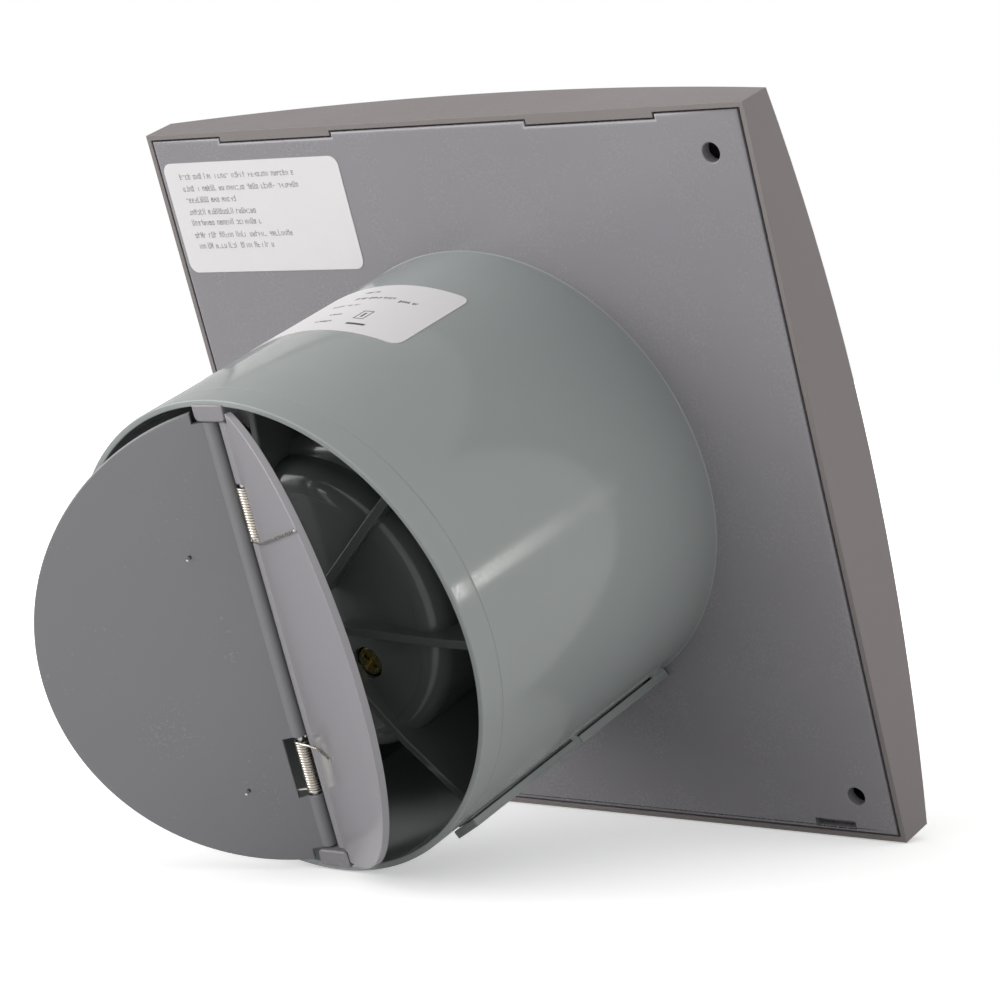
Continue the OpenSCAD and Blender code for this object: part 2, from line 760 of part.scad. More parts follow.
module terminal_block() color([0.88, 0.87, 0.84])
    difference() {
        translate([term_x - 9, -13.4, term_z - 6]) cube([18, 9.1, 12]);
        // each brass contact sits in a bore along Z
        at_poles() translate([0, pole_y, -7]) cylinder(r = 2.3, h = 14, $fn = 48);
        at_terminal_screws() ycyl(2, -14, pole_y, facets = 32);
    }

module terminal_contacts() color([0.8, 0.66, 0.34])
    at_poles() difference() {
        translate([0, pole_y, -5.5]) cylinder(r = 2.25, h = 11, $fn = 48);
        translate([0, pole_y, -7]) cylinder(r = 1.35, h = 14, $fn = 32);
        for (z = [-term_screw_z, term_screw_z]) ycyl(1.25, -14, pole_y, 0, z, 32);
    }

module terminal_screws() color([0.8, 0.8, 0.82])
    at_terminal_screws() difference() {
        union() {
            ycyl(1.2, -12, -9.6, facets = 32);
            ycyl(1.8, -13, -11.2, facets = 32);
        }
        translate([-2, -14, -0.25]) cube([4, 1.5, 0.5]);
    }

module cable_clamp() color([0.85, 0.84, 0.8])
    difference() {
        translate([term_x - 10.5, -9.4, clamp_z - 3]) cube([21, 3.3, 6]);
        // groove for the cable
        translate([term_x, -5.2, clamp_z - 3.4]) cylinder(r = 3.1, h = 7, $fn = 48);
        at_clamp_screws() ycyl(1.5, -10, -5, facets = 32);
    }

module cable_clamp_screws() color([0.8, 0.8, 0.82])
    at_clamp_screws() difference() {
        union() {
            ycyl(1.0, -9.5, -3.8, facets = 32);
            ycyl(2.4, -10.9, -9.42, facets = 48);
        }
        translate([-3, -12, -0.3]) cube([6, 1.8, 0.6]);
    }

// Point at a radius and angle round the fan axis, offset sideways, at depth y.
function polar(radius, angle, offset, y) =
    [-radius * cos(angle) - offset * sin(angle), y, radius * sin(angle) - offset * cos(angle)];

// Insulated lead: from the coil past the laminations, out to the wire channel,
// along the channel to the room side and round to the terminal block.
// Side is -1 or 1, the contact it ends in.
module lead(side) {
    cup_y = side < 0 ? 36.4 : 38.6;
    front_y = side < 0 ? -6.5 : -4.5;
    turn_x = term_x - (side < 0 ? 10.7 : 13);
    over_z = term_z + (side < 0 ? 8.6 : 11);
    end_x = term_x + side * pole_x;
    chan_r = spigot_r + 0.95;
    chan_side = side * 1.25;
    wire(eased([
        // inside the cup
        [-13.3, cup_y, 23], [-18.6, cup_y, 20.5], [-20.1, cup_y, 16], [-22.7, cup_y, 8],
        polar(24.6, -12, 0, cup_y), polar(24.4, -35, 0, cup_y), polar(24.2, -56, 0, cup_y),
        // out to the channel and along it
        polar(29, chan_a, side * 0.5, cup_y), polar(46, chan_a, chan_side, cup_y),
        polar(chan_r, chan_a, chan_side, cup_y), polar(chan_r, chan_a, chan_side, front_y),
        // across the front of the plate to the terminal block
        polar(58, -66, 0, front_y), [-6, front_y, -61], [24, front_y, -60],
        [turn_x - 6, front_y, -57], [turn_x, pole_y, -50], [turn_x, pole_y, over_z],
        [end_x, pole_y, over_z], [end_x, pole_y, term_z + 3.4]
    ], 2), lead_r, 8);
}
module live_lead() color([0.45, 0.28, 0.18]) lead(-1);
module neutral_lead() color([0.2, 0.32, 0.6]) lead(1);

// ---------------------------------------------------------------- labels

label_in = 0.01;                     // inner and outer face, off the surface below
label_out = 0.13;
wrap_y = [19.3, 43.3];               // spigot label, along the axis

// Outside radius of the spigot's drafted part.
function spigot_at(y) = spigot_r + draft * (1 - y / band_y);

module rear_label() color([0.93, 0.93, 0.93])
    difference() {
        slab(label_in, label_out) round_rect(25.3, 75.3, 46.8, 71.6, 2.2);
        // pierced by the fixing screw
        ycyl(screw_hole_d / 2 + 0.3, -1, 1, screw_at, screw_at, 48);
    }

module spigot_label() color([0.93, 0.93, 0.93]) {
    foot_r = spigot_at(wrap_y[0]);
    mouth_r = spigot_at(wrap_y[1]);
    height = wrap_y[1] - wrap_y[0];
    rotate([90, 0, 0]) mirror([0, 0, 1]) translate([0, 0, wrap_y[0]])
        rotate([0, 0, 54]) rotate_extrude(angle = 57, $fn = 180)
            polygon([[foot_r + label_in, 0], [foot_r + label_out, 0],
                     [mouth_r + label_out, height], [mouth_r + label_in, height]]);
}

housing();
front_cover();
channel_cover();
impeller();
shaft_clip();
motor_shaft();
rotor_core();
thrust_washers();
stator_stack();
shading_rings();
coil_bobbin();
coil_winding();
front_bracket();
rear_bracket();
front_bearing();
rear_bearing();
motor_screws();
motor_mount_screws();
valve_flap_left();
valve_flap_right();
valve_pin_left();
valve_pin_right();
valve_spring_upper();
valve_spring_lower();
terminal_block();
terminal_contacts();
terminal_screws();
cable_clamp();
cable_clamp_screws();
live_lead();
neutral_lead();
rear_label();
spigot_label();
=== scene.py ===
"""A duct fan with a square base plate, a round spigot, a motor cup and two valve flaps.

The fan axis is Y. The base plate lies in the XZ plane with its +Y face at y = 0, and the spigot
runs along +Y to its mouth. Z is up: "upper" parts lie at +Z. The "left" flap lies at +X and the
"right" flap at -X. Shapes are drawn in millimetres and built in metres. The floor is tilted to the
axes, and it, the camera and the lights are placed in metres.
"""

import math

import bmesh
import bpy
import numpy as np
from mathutils import Matrix, Vector
from mathutils.geometry import tessellate_polygon


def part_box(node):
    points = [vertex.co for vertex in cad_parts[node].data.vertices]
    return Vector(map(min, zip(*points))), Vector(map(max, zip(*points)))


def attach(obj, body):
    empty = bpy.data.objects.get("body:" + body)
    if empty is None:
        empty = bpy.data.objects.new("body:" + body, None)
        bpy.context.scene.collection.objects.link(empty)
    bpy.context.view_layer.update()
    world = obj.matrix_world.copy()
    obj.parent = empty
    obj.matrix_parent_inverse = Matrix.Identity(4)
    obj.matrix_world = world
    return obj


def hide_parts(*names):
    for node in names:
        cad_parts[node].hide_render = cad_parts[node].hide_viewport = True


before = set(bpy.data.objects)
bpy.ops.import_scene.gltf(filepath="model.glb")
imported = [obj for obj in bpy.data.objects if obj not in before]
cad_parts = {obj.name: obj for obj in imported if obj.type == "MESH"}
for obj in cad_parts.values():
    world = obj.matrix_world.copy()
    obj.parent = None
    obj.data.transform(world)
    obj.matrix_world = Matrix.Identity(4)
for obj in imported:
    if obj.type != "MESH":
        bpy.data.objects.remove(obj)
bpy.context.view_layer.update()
scene = bpy.context.scene
MM = 0.001
rad = math.radians

# ------------------------------------------------------------------ shared sizes (mm, degrees)
PLATE_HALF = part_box("housing")[1].x / MM
MOUTH_Y = 78.6
SPIGOT_R = 49.8         # outside of the spigot near its mouth
BORE_R = 48.5           # inside of the spigot
SPIGOT_DRAFT = 0.25     # growth of the outside radius from DRAFT_END_Y down to the plate
DRAFT_END_Y = 68.4
HINGE_X, HINGE_Y = 1.9, 76.9
OPEN_ANGLE = {"left": 35.5, "right": 31.0}
CHANNEL_ANGLE = -60.0   # counted from -X towards +Z, like the ribs and screw wells
CHANNEL_HALF = 2.3
CUP_R, CUP_OPEN_Y, CUP_END_Y = 30.5, 34.0, 66.0
CUP_WALL = 1.8


def spigot_r(y):
    return SPIGOT_R + SPIGOT_DRAFT * max(0.0, 1 - y / DRAFT_END_Y)


# ------------------------------------------------------------------ objects
def new_object(name, data):
    ob = bpy.data.objects.new(name, data)
    scene.collection.objects.link(ob)
    return ob


def add_weighted_normals(ob):
    ob.modifiers.new("wn", "WEIGHTED_NORMAL").keep_sharp = True


def add_bevel(ob, width):
    bevel = ob.modifiers.new("bv", "BEVEL")
    bevel.width = width * MM
    bevel.segments = 2
    bevel.limit_method = "ANGLE"
    return bevel


def piece(name, shape, body, material, slot, sharp=35, weighted=True, replaces=None):
    """An object from (verts, faces) in mm, with edges over `sharp` degrees kept hard."""
    verts, faces = shape
    mesh = bpy.data.meshes.new(name)
    mesh.from_pydata([(v[0] * MM, v[1] * MM, v[2] * MM) for v in verts], [], faces)
    bm = bmesh.new()
    bm.from_mesh(mesh)
    bmesh.ops.remove_doubles(bm, verts=bm.verts, dist=1e-8)
    bmesh.ops.recalc_face_normals(bm, faces=bm.faces)
    for face in bm.faces:
        face.smooth = True
    for edge in bm.edges:
        edge.smooth = not (len(edge.link_faces) == 2 and edge.calc_face_angle(0) > rad(sharp))
    bm.to_mesh(mesh)
    bm.free()
    ob = new_object(name, mesh)
    mesh.materials.append(MATERIALS[material])
    if weighted:
        add_weighted_normals(ob)
    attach(ob, body)
    if replaces:
        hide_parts(replaces)
    return ob


def housing_piece(name, shape, material, **options):
    return piece(name, shape, "casing", material, "body_plastic", **options)


# ------------------------------------------------------------------ outlines, as 2D vectors
def vectors(points):
    return [Vector(p) for p in points]


def circle(cx, cz, radius, count, hole=False):
    turns = [2 * math.pi * k / count for k in range(count)]
    loop = [Vector((cx + radius * math.cos(t), cz + radius * math.sin(t))) for t in turns]
    return loop[::-1] if hole else loop


def arc(cx, cy, radius, start, end, count):
    """Points (not vectors) along an arc between two angles in degrees."""
    turns = [rad(start + (end - start) * k / count) for k in range(count + 1)]
    return [(cx + radius * math.cos(t), cy + radius * math.sin(t)) for t in turns]


def rounded_hole(x0, x1, z0, z1, radius, count):
    corners = ((x1 - radius, z0 + radius, -90), (x1 - radius, z1 - radius, 0),
               (x0 + radius, z1 - radius, 90), (x0 + radius, z0 + radius, 180))
    loop = []
    for cx, cz, start in corners:
        loop += arc(cx, cz, radius, start, start + 90, count)
    return vectors(loop[::-1])


def dense(loop, step):
    """Splits long edges, so that normals and materials behave on them."""
    out = []
    for i, p in enumerate(loop):
        q = loop[(i + 1) % len(loop)]
        parts = max(1, int((q - p).length / step))
        out += [p.lerp(q, k / parts) for k in range(parts)]
    return out


def offset(loop, inset):
    if inset == 0:
        return list(loop)
    count, out = len(loop), []
    for i in range(count):
        before = (loop[i] - loop[i - 1]).normalized()
        after = (loop[(i + 1) % count] - loop[i]).normalized()
        n1, n2 = Vector((-before.y, before.x)), Vector((-after.y, after.x))
        out.append(loop[i] + (n1 + n2) * (inset / max(1 + n1.dot(n2), 0.35)))
    return out


# ------------------------------------------------------------------ solids, as (verts, faces)
def shifted(faces, base):
    return [tuple(i + base for i in face) for face in faces]


def skin(rings, size, closed=False):
    """Quads between successive rings of `size` points; closed joins the last ring to the first."""
    faces = []
    for i in range(rings if closed else rings - 1):
        this, after = i * size, (i + 1) % rings * size
        for j in range(size):
            k = (j + 1) % size
            faces.append((this + j, this + k, after + k, after + j))
    return faces


def merge(parts):
    verts, faces = [], []
    for part_verts, part_faces in parts:
        faces += shifted(part_faces, len(verts))
        verts += part_verts
    return verts, faces


def slab(loops, start, end, place, edges, steps=3):
    """A flat shape with holes, thick from start to end. Per loop, edges holds the radius of the
    edge at the start, and the width and depth of the rounding at the end. The first loop runs
    anticlockwise and holes run clockwise."""
    verts, faces, start_caps, end_caps = [], [], [], []
    quarter = [math.pi / 2 * k / steps for k in range(steps + 1)]
    for loop, (radius, width, depth) in zip(loops, edges):
        profile = [(radius * (1 - math.sin(t)), start + radius * (1 - math.cos(t)))
                   for t in quarter]
        profile += [(width * (1 - math.cos(t)), end - depth + depth * math.sin(t))
                    for t in quarter]
        base = len(verts)
        for inset, height in profile:
            verts += [place(p.x, p.y, height) for p in offset(loop, inset)]
        faces += shifted(skin(len(profile), len(loop)), base)
        start_caps.append((base, offset(loop, profile[0][0])))
        end_caps.append((len(verts) - len(loop), offset(loop, profile[-1][0])))
    for caps in (start_caps, end_caps):
        index = [base + i for base, points in caps for i in range(len(points))]
        outlines = [[Vector((p.x, p.y, 0)) for p in points] for _, points in caps]
        faces += [tuple(index[i] for i in tri) for tri in tessellate_polygon(outlines)]
    return verts, faces


def flat(x, z, y):
    """Places a slab in the XZ plane."""
    return (x, y, z)


def lathe(profile, count):
    """Closed profile of (radius, y), turned about the fan axis."""
    turns = [2 * math.pi * j / count for j in range(count)]
    verts = [(r * math.sin(t), y, r * math.cos(t)) for t in turns for r, y in profile]
    return verts, skin(count, len(profile), closed=True)


def turn(x, y, z, degrees):
    """Turns a point drawn along +X to an angle round the fan axis, from -X towards +Z."""
    cosine, sine = math.cos(rad(180 + degrees)), math.sin(rad(180 + degrees))
    return x * cosine + z * sine, y, -x * sine + z * cosine


def sweep(path, radius, sides=10):
    """A round wire along a path, with chamfered ends."""
    points = vectors(path)
    last = len(points) - 1
    tangents = [(points[min(i + 1, last)] - points[max(i - 1, 0)]).normalized()
                for i in range(last + 1)]
    turns = [2 * math.pi * j / sides for j in range(sides)]
    across = Vector((0, 0, 1)) if abs(tangents[0].z) < 0.9 else Vector((1, 0, 0))
    verts = []
    for point, tangent in zip(points, tangents):
        across = (across - across.dot(tangent) * tangent).normalized()
        other = tangent.cross(across)
        verts += [tuple(point + (across * math.cos(t) + other * math.sin(t)) * radius)
                  for t in turns]
    faces = skin(len(points), sides)
    for end, direction in ((0, -1), (last, 1)):
        tip = len(verts)
        ring = [end * sides + j for j in range(sides)]
        push = tangents[end] * direction * radius * 0.35
        verts += [tuple(Vector(verts[i]).lerp(points[end], 0.35) + push) for i in ring]
        faces += [(ring[j], ring[(j + 1) % sides], tip + (j + 1) % sides, tip + j)
                  for j in range(sides)]
        faces.append(tuple(tip + j for j in range(sides)))
    return verts, faces


def eased(path, cut, steps=5):
    """Rounds the corners of a path, starting at most `cut` from each."""
    points = vectors(path)
    out = [points[0]]
    for before, corner, after in zip(points, points[1:], points[2:]):
        a, b = before - corner, after - corner
        start = corner + a.normalized() * min(cut, a.length * 0.45)
        end = corner + b.normalized() * min(cut, b.length * 0.45)
        for t in (j / steps for j in range(steps + 1)):
            out.append(start * (1 - t) ** 2 + corner * 2 * t * (1 - t) + end * t * t)
    return out + [points[-1]]


# ------------------------------------------------------------------ shader node helpers
def set_inputs(tree, target, values):
    """Links sockets and sets plain values, by input name or index."""
    for key, value in values.items():
        if isinstance(value, bpy.types.NodeSocket):
            tree.links.new(value, target.inputs[key])
        else:
            target.inputs[key].default_value = value


def node(tree, kind, inputs=None, **settings):
    made = tree.nodes.new("ShaderNode" + kind)
    for key, value in settings.items():
        setattr(made, key, value)
    set_inputs(tree, made, inputs or {})
    return made


def empty_material(name):
    material = bpy.data.materials.new(name)
    material.use_nodes = True
    material.node_tree.nodes.clear()
    return material, material.node_tree


def surface(name):
    """A material with one principled shader, and its object coordinates."""
    material, tree = empty_material(name)
    output = node(tree, "OutputMaterial")
    shader = node(tree, "BsdfPrincipled")
    tree.links.new(shader.outputs[0], output.inputs[0])
    return material, tree, shader, node(tree, "TexCoord").outputs["Object"]


def srgb(colour):
    """Linear RGBA from 0-255 sRGB."""
    parts = [v / 255 for v in colour]
    return tuple(v / 12.92 if v <= 0.04045 else ((v + 0.055) / 1.055) ** 2.4
                 for v in parts) + (1.0,)


def shade(colour, gain, lift=0.0):
    return tuple(min(1, v * gain + lift) for v in colour[:3]) + (1.0,)


def noise(tree, vector, scale, detail=3.0, rough=0.55):
    values = {"Scale": scale, "Detail": detail, "Roughness": rough, "Vector": vector}
    return node(tree, "TexNoise", values).outputs["Fac"]


def stretched(tree, vector, scale):
    return node(tree, "Mapping", {"Scale": scale, "Vector": vector}).outputs["Vector"]


def mapped(tree, value, source, target=(0, 1)):
    """Maps the range source to the range target."""
    values = {"From Min": source[0], "From Max": source[1],
              "To Min": target[0], "To Max": target[1], "Value": value}
    return node(tree, "MapRange", values).outputs["Result"]


def mix(tree, factor, a, b):
    # inputs 6 and 7 are the colours A and B
    return node(tree, "Mix", {0: factor, 6: a, 7: b}, data_type="RGBA").outputs[2]


def relief(tree, height, strength, distance, normal=None):
    values = {"Strength": strength, "Distance": distance, "Height": height}
    if normal:
        values["Normal"] = normal
    return node(tree, "Bump", values).outputs["Normal"]


# ------------------------------------------------------------------ kinds of material
def plastic(name, colour, rough, bump, drift, grain=1400, spec=0.5, edge=0.1, satin=0.03,
            flow=None, subsurface=0.0):
    """Moulded plastic: slow colour drift, a fine grain in gloss and relief, edges lightened as a
    painted highlight, and faint flow lines where `flow` gives their scale."""
    material, tree, shader, coord = surface(name)
    base = srgb(colour)
    slow = noise(tree, coord, scale=18, detail=2)
    middle = noise(tree, coord, scale=70, detail=3, rough=0.5)
    fine = noise(tree, coord, scale=grain, detail=3, rough=0.6)
    tone = mix(tree, mapped(tree, slow, source=(0.35, 0.65)),
               shade(base, gain=1 - drift), shade(base, gain=1 + drift))
    tone = mix(tree, mapped(tree, middle, source=(0.5, 0.72), target=(0, 0.5)),
               tone, shade(base, gain=1 - drift * 0.7))
    # painted highlight: edges are lightened where the rounded normal leaves the true one
    rounded = node(tree, "Bevel", {"Radius": 0.00022}, samples=4).outputs["Normal"]
    true_normal = node(tree, "NewGeometry").outputs["Normal"]
    match = node(tree, "VectorMath", {0: rounded, 1: true_normal}, operation="DOT_PRODUCT")
    edge_highlight = mapped(tree, match.outputs["Value"], source=(0.995, 0.8))
    tone = mix(tree, edge_highlight, tone, shade(base, gain=1 + edge * 2.2, lift=0.006))
    fine_gloss = mapped(tree, fine, source=(0.3, 0.7), target=(rough - satin, rough + satin))
    slow_gloss = mapped(tree, middle, source=(0.3, 0.7), target=(-0.8 * satin, 0.8 * satin))
    gloss = node(tree, "Math", {0: fine_gloss, 1: slow_gloss}, operation="ADD")
    grained = relief(tree, fine, strength=bump, distance=0.00004, normal=rounded)
    waves = middle
    if flow:
        waves = noise(tree, stretched(tree, coord, flow), scale=1.0, detail=2, rough=0.5)
    set_inputs(tree, shader, {
        "Base Color": tone,
        "Roughness": gloss.outputs[0],
        "Normal": relief(tree, waves, strength=bump * 1.4, distance=0.00012, normal=grained),
        "Specular IOR Level": spec,
        "Coat Roughness": 0.12,
    })
    if subsurface:
        set_inputs(tree, shader, {"Subsurface Weight": subsurface, "Subsurface Scale": 0.001})
    return material


def metal(name, colour, rough, brush, tarnish=None, amount=0.35, bump=0.08):
    """Metal with drawn or turned marks, and patches where it has dulled."""
    material, tree, shader, coord = surface(name)
    base = srgb(colour)
    marks = noise(tree, stretched(tree, coord, brush), scale=3.0, detail=4, rough=0.6)
    patches = noise(tree, coord, scale=320, detail=4, rough=0.6)
    dull = srgb(tarnish) if tarnish else shade(base, gain=0.6)
    tone = mix(tree, mapped(tree, patches, source=(0.45, 0.7), target=(0, amount)), base, dull)
    set_inputs(tree, shader, {
        "Base Color": tone,
        "Metallic": 1.0,
        "Roughness": mapped(tree, marks, source=(0.3, 0.7), target=(rough - 0.06, rough + 0.12)),
        "Normal": relief(tree, marks, strength=bump, distance=0.00005),
    })
    return material


def winding(name, colour):
    """Enamelled wire laid in turns along X."""
    material, tree, shader, coord = surface(name)
    base = srgb(colour)
    values = {"Scale": 1250, "Distortion": 1.2, "Detail": 2, "Vector": coord}
    wires = node(tree, "TexWave", values, bands_direction="X").outputs["Fac"]
    set_inputs(tree, shader, {
        "Base Color": mix(tree, wires, shade(base, gain=0.35), base),
        "Metallic": 0.75,
        "Roughness": 0.3,
        "Coat Weight": 0.6,
        "Normal": relief(tree, wires, strength=0.7, distance=0.0001),
    })
    return material


def laminated(name, colour, stain):
    """Stacked steel sheets seen edge on, along Y."""
    material, tree, shader, coord = surface(name)
    base = srgb(colour)
    values = {"Scale": 320, "Distortion": 0.3, "Vector": coord}
    sheets = node(tree, "TexWave", values, bands_direction="Y").outputs["Fac"]
    patches = noise(tree, coord, scale=200, detail=4, rough=0.6)
    tone = mix(tree, sheets, shade(base, gain=0.45), base)
    stained = mapped(tree, patches, source=(0.5, 0.7), target=(0, 0.4))
    set_inputs(tree, shader, {
        "Base Color": mix(tree, stained, tone, srgb(stain)),
        "Metallic": 0.9,
        "Roughness": mapped(tree, patches, source=(0.3, 0.7), target=(0.32, 0.5)),
        "Normal": relief(tree, sheets, strength=0.5, distance=0.00012),
    })
    return material


def paper(name, colour, rough=0.45):
    """Coated sticker stock: faint fibre in tone and relief, satin face."""
    material, tree, shader, coord = surface(name)
    base = srgb(colour)
    fibre = noise(tree, coord, scale=2600, detail=4, rough=0.7)
    slow = noise(tree, coord, scale=60, detail=3, rough=0.5)
    tone = mix(tree, mapped(tree, fibre, source=(0.35, 0.65)), shade(base, gain=0.97), base)
    clouds = mapped(tree, slow, source=(0.4, 0.7), target=(0, 0.5))
    set_inputs(tree, shader, {
        "Base Color": mix(tree, clouds, tone, shade(base, gain=0.96)),
        "Roughness": mapped(tree, slow, source=(0.3, 0.7), target=(rough - 0.05, rough + 0.05)),
        "Normal": relief(tree, fibre, strength=0.08, distance=0.00003),
    })
    return material


def ink(name, colour):
    """Print that thins in fine spots."""
    material, tree, shader, coord = surface(name)
    base = srgb(colour)
    spots = noise(tree, coord, scale=3000, detail=3, rough=0.7)
    thin = mapped(tree, spots, source=(0.4, 0.7), target=(0, 0.35))
    set_inputs(tree, shader, {
        "Base Color": mix(tree, thin, base, shade(base, gain=1.5, lift=0.08)),
        "Roughness": 0.5,
    })
    return material


MATERIALS = {
    "tube": plastic("grey_plastic_tube", colour=(144, 149, 148), rough=0.13, bump=0.02,
                    spec=0.55, drift=0.025, edge=0.02, flow=(40, 400, 40)),
    "plate": plastic("grey_plastic_plate", colour=(132, 130, 134), rough=0.27, grain=1600,
                     bump=0.004, drift=0.02, satin=0.008),
    # painted shade: the cup, lobe and ribs are the housing's own plastic, made darker because they
    # sit deep inside the spigot
    "cup": plastic("grey_plastic_cup_shaded", colour=(86, 90, 89), rough=0.14, bump=0.03, drift=0.03),
    "cover": plastic("cover_plastic", colour=(123, 117, 116), rough=0.4, bump=0.06, spec=0.45,
                     drift=0.03),
    # the two flaps are one plastic: the left copy is darker as painted shade, the right copy
    # lighter as painted light
    "flap_left": plastic("flap_plastic_shaded_left", colour=(126, 126, 129), rough=0.24, bump=0.03,
                         drift=0.02),
    "flap_right": plastic("flap_plastic_lit_right", colour=(142, 140, 144), rough=0.16, bump=0.025,
                          drift=0.02),
    "impeller": plastic("impeller_plastic", colour=(122, 120, 128), rough=0.25, bump=0.04,
                        drift=0.04),
    "natural": plastic("natural_plastic", colour=(226, 222, 210), rough=0.38, bump=0.05,
                       drift=0.03, subsurface=0.15),
    "brown": plastic("brown_pvc", colour=(104, 66, 44), rough=0.32, bump=0.05, drift=0.08),
    "blue": plastic("blue_pvc", colour=(42, 84, 156), rough=0.32, bump=0.05, drift=0.08),
    "fibre": plastic("washer_fibre", colour=(196, 184, 150), rough=0.6, bump=0.2, drift=0.1),
    "steel": metal("bright_steel", colour=(206, 208, 210), rough=0.22, brush=(60, 900, 60)),
    "zinc": metal("zinc_alloy", colour=(178, 181, 184), rough=0.38, brush=(700, 700, 700),
                  amount=0.4, bump=0.15),
    "spring": metal("spring_wire", colour=(214, 209, 200), rough=0.2, brush=(260, 260, 260),
                    tarnish=(168, 156, 138), bump=0.03),
    "bronze": metal("sintered_bronze", colour=(176, 130, 78), rough=0.42,
                    brush=(800, 800, 800), amount=0.5, bump=0.2),
    "copper": metal("copper_bar", colour=(198, 120, 84), rough=0.3, brush=(60, 900, 60),
                    tarnish=(120, 66, 48)),
    "yellow": metal("yellow_screw", colour=(176, 162, 108), rough=0.24, brush=(500, 500, 500),
                    tarnish=(128, 120, 84), bump=0.04),
    "brass": metal("terminal_brass", colour=(210, 182, 110), rough=0.28, brush=(60, 60, 900),
                   tarnish=(150, 122, 70)),
    "winding": winding("copper_winding", colour=(186, 96, 50)),
    "lamination": laminated("lamination_steel", colour=(128, 130, 134), stain=(92, 84, 78)),
    "label": paper("label_stock", colour=(214, 212, 213)),
    "ink_grey": ink("print_grey", colour=(128, 120, 124)),
    "ink_dark": ink("print_dark", colour=(62, 60, 62)),
}

# ------------------------------------------------------------------ looks of the CAD pieces
CAD_MATERIALS = {
    "housing": "plate", "front_cover": "cover", "impeller": "impeller", "shaft_clip": "steel",
    "motor_shaft": "steel", "rotor_core": "lamination", "thrust_washers": "fibre",
    "stator_stack": "lamination", "shading_rings": "copper", "coil_bobbin": "natural",
    "coil_winding": "winding", "front_bracket": "zinc", "rear_bracket": "zinc",
    "front_bearing": "bronze", "rear_bearing": "bronze", "motor_screws": "steel",
    "motor_mount_screws": "yellow", "valve_flap_left": "flap_left",
    "valve_flap_right": "flap_right", "valve_pin_left": "steel", "valve_pin_right": "steel",
    "valve_spring_upper": "spring", "valve_spring_lower": "spring",
    "terminal_block": "natural", "terminal_contacts": "brass", "terminal_screws": "steel",
    "cable_clamp": "natural", "cable_clamp_screws": "steel", "live_lead": "brown",
    "neutral_lead": "blue", "rear_label": "label", "spigot_label": "label",
}
for cad_name, key in CAD_MATERIALS.items():
    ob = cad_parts[cad_name]
    ob.data.materials.clear()
    ob.data.materials.append(MATERIALS[key])
    ob.modifiers.new("weld", "WELD").merge_threshold = 1e-6
    if cad_name not in ("live_lead", "neutral_lead"):
        flatten = ob.modifiers.new("flat", "DECIMATE")
        flatten.decimate_type = "DISSOLVE"
        flatten.angle_limit = rad(0.3)
        bevel = add_bevel(ob, 0.35 if cad_name == "front_cover" else 0.12)
        bevel.angle_limit = rad(40)
        bevel.use_clamp_overlap = True
        add_weighted_normals(ob)

# ------------------------------------------------------------------ base plate and skirt
SCREW_HOLE_AT, SCREW_HOLE_R = 136.7 / 2, 2.0
SLOT_AT, SLOT_HALF = 61.85, 4.85
NOTCH_X = (25.4, 57.0)      # the two notches in the +Z edge, mirrored in X
NOTCH_Z = 75.4
SKIRT_OUT, SKIRT_IN = 76.2, 74.7


def notched(x0, x1, z0, z1):
    """A rectangle with the two notches in its +Z edge."""
    near, far = NOTCH_X
    return vectors((
        (x0, z0), (x1, z0), (x1, z1),
        (far, z1), (far, NOTCH_Z), (near, NOTCH_Z), (near, z1),
        (-near, z1), (-near, NOTCH_Z), (-far, NOTCH_Z), (-far, z1), (x0, z1)))


# per hole: its loop and its edges, as slab takes them
plate_loops = [notched(-PLATE_HALF + 0.3, PLATE_HALF, -PLATE_HALF, PLATE_HALF)]
plate_loops += [circle(x * SCREW_HOLE_AT, z * SCREW_HOLE_AT, SCREW_HOLE_R, 40, hole=True)
                for x in (-1, 1) for z in (-1, 1)]
plate_loops += [rounded_hole(side * SLOT_AT - SLOT_HALF, side * SLOT_AT + SLOT_HALF,
                             -75.8, -74.2, 0.25, 3) for side in (-1, 1)]
plate_loops += [rounded_hole(51.5, 60.5, -71, -64.5, 0.5, 4)]
plate_loops += [circle(0, 0, BORE_R, 192, hole=True)]
channel_hole = [turn(r, 0, across, CHANNEL_ANGLE) for r, across in (
    (50.3, -CHANNEL_HALF), (50.3, CHANNEL_HALF), (51.4, CHANNEL_HALF), (51.4, -CHANNEL_HALF))]
plate_loops += [[Vector((x, z)) for x, _, z in channel_hole]]
plate_edges = [(0.2, 0.9, 0.32)] + [(0.15, 0.22, 0.22)] * 4 + [(0.15, 0.12, 0.12)] * 3
plate_edges += [(0.0, 0.0, 0.0), (0.1, 0.1, 0.1)]
housing_piece("housing_base_plate", slab(plate_loops, -2.5, 0.0, flat, plate_edges), "plate",
              replaces="housing")

skirt_outer = notched(-75.7, SKIRT_OUT, -SKIRT_OUT, SKIRT_OUT)
skirt_inner = vectors(((-SKIRT_IN, -SKIRT_IN), (-SKIRT_IN, SKIRT_IN),
                       (SKIRT_IN, SKIRT_IN), (SKIRT_IN, -SKIRT_IN)))
housing_piece("housing_skirt", slab([skirt_outer, skirt_inner], -6.9, -2.4, flat,
                                    [(0.25, 0.0, 0.0)] * 2), "plate")

# ------------------------------------------------------------------ spigot, turned as one wall
ROOT_R = spigot_r(0)
spigot = [(BORE_R, -6.3), (BORE_R, MOUTH_Y - 0.25)]
spigot += arc(BORE_R + 0.25, MOUTH_Y - 0.25, 0.25, 180, 90, 4)[1:]
spigot += arc(SPIGOT_R - 0.3, MOUTH_Y - 0.3, 0.3, 90, 0, 4)
# a fine groove round the outside
spigot += [(SPIGOT_R, 72.85), (SPIGOT_R - 0.1, 72.62), (SPIGOT_R - 0.1, 72.5), (SPIGOT_R, 72.42)]
spigot += [(spigot_r(y), y) for y in (DRAFT_END_Y, 60, 50, 40, 30, 20, 10, 4, 1.2)]
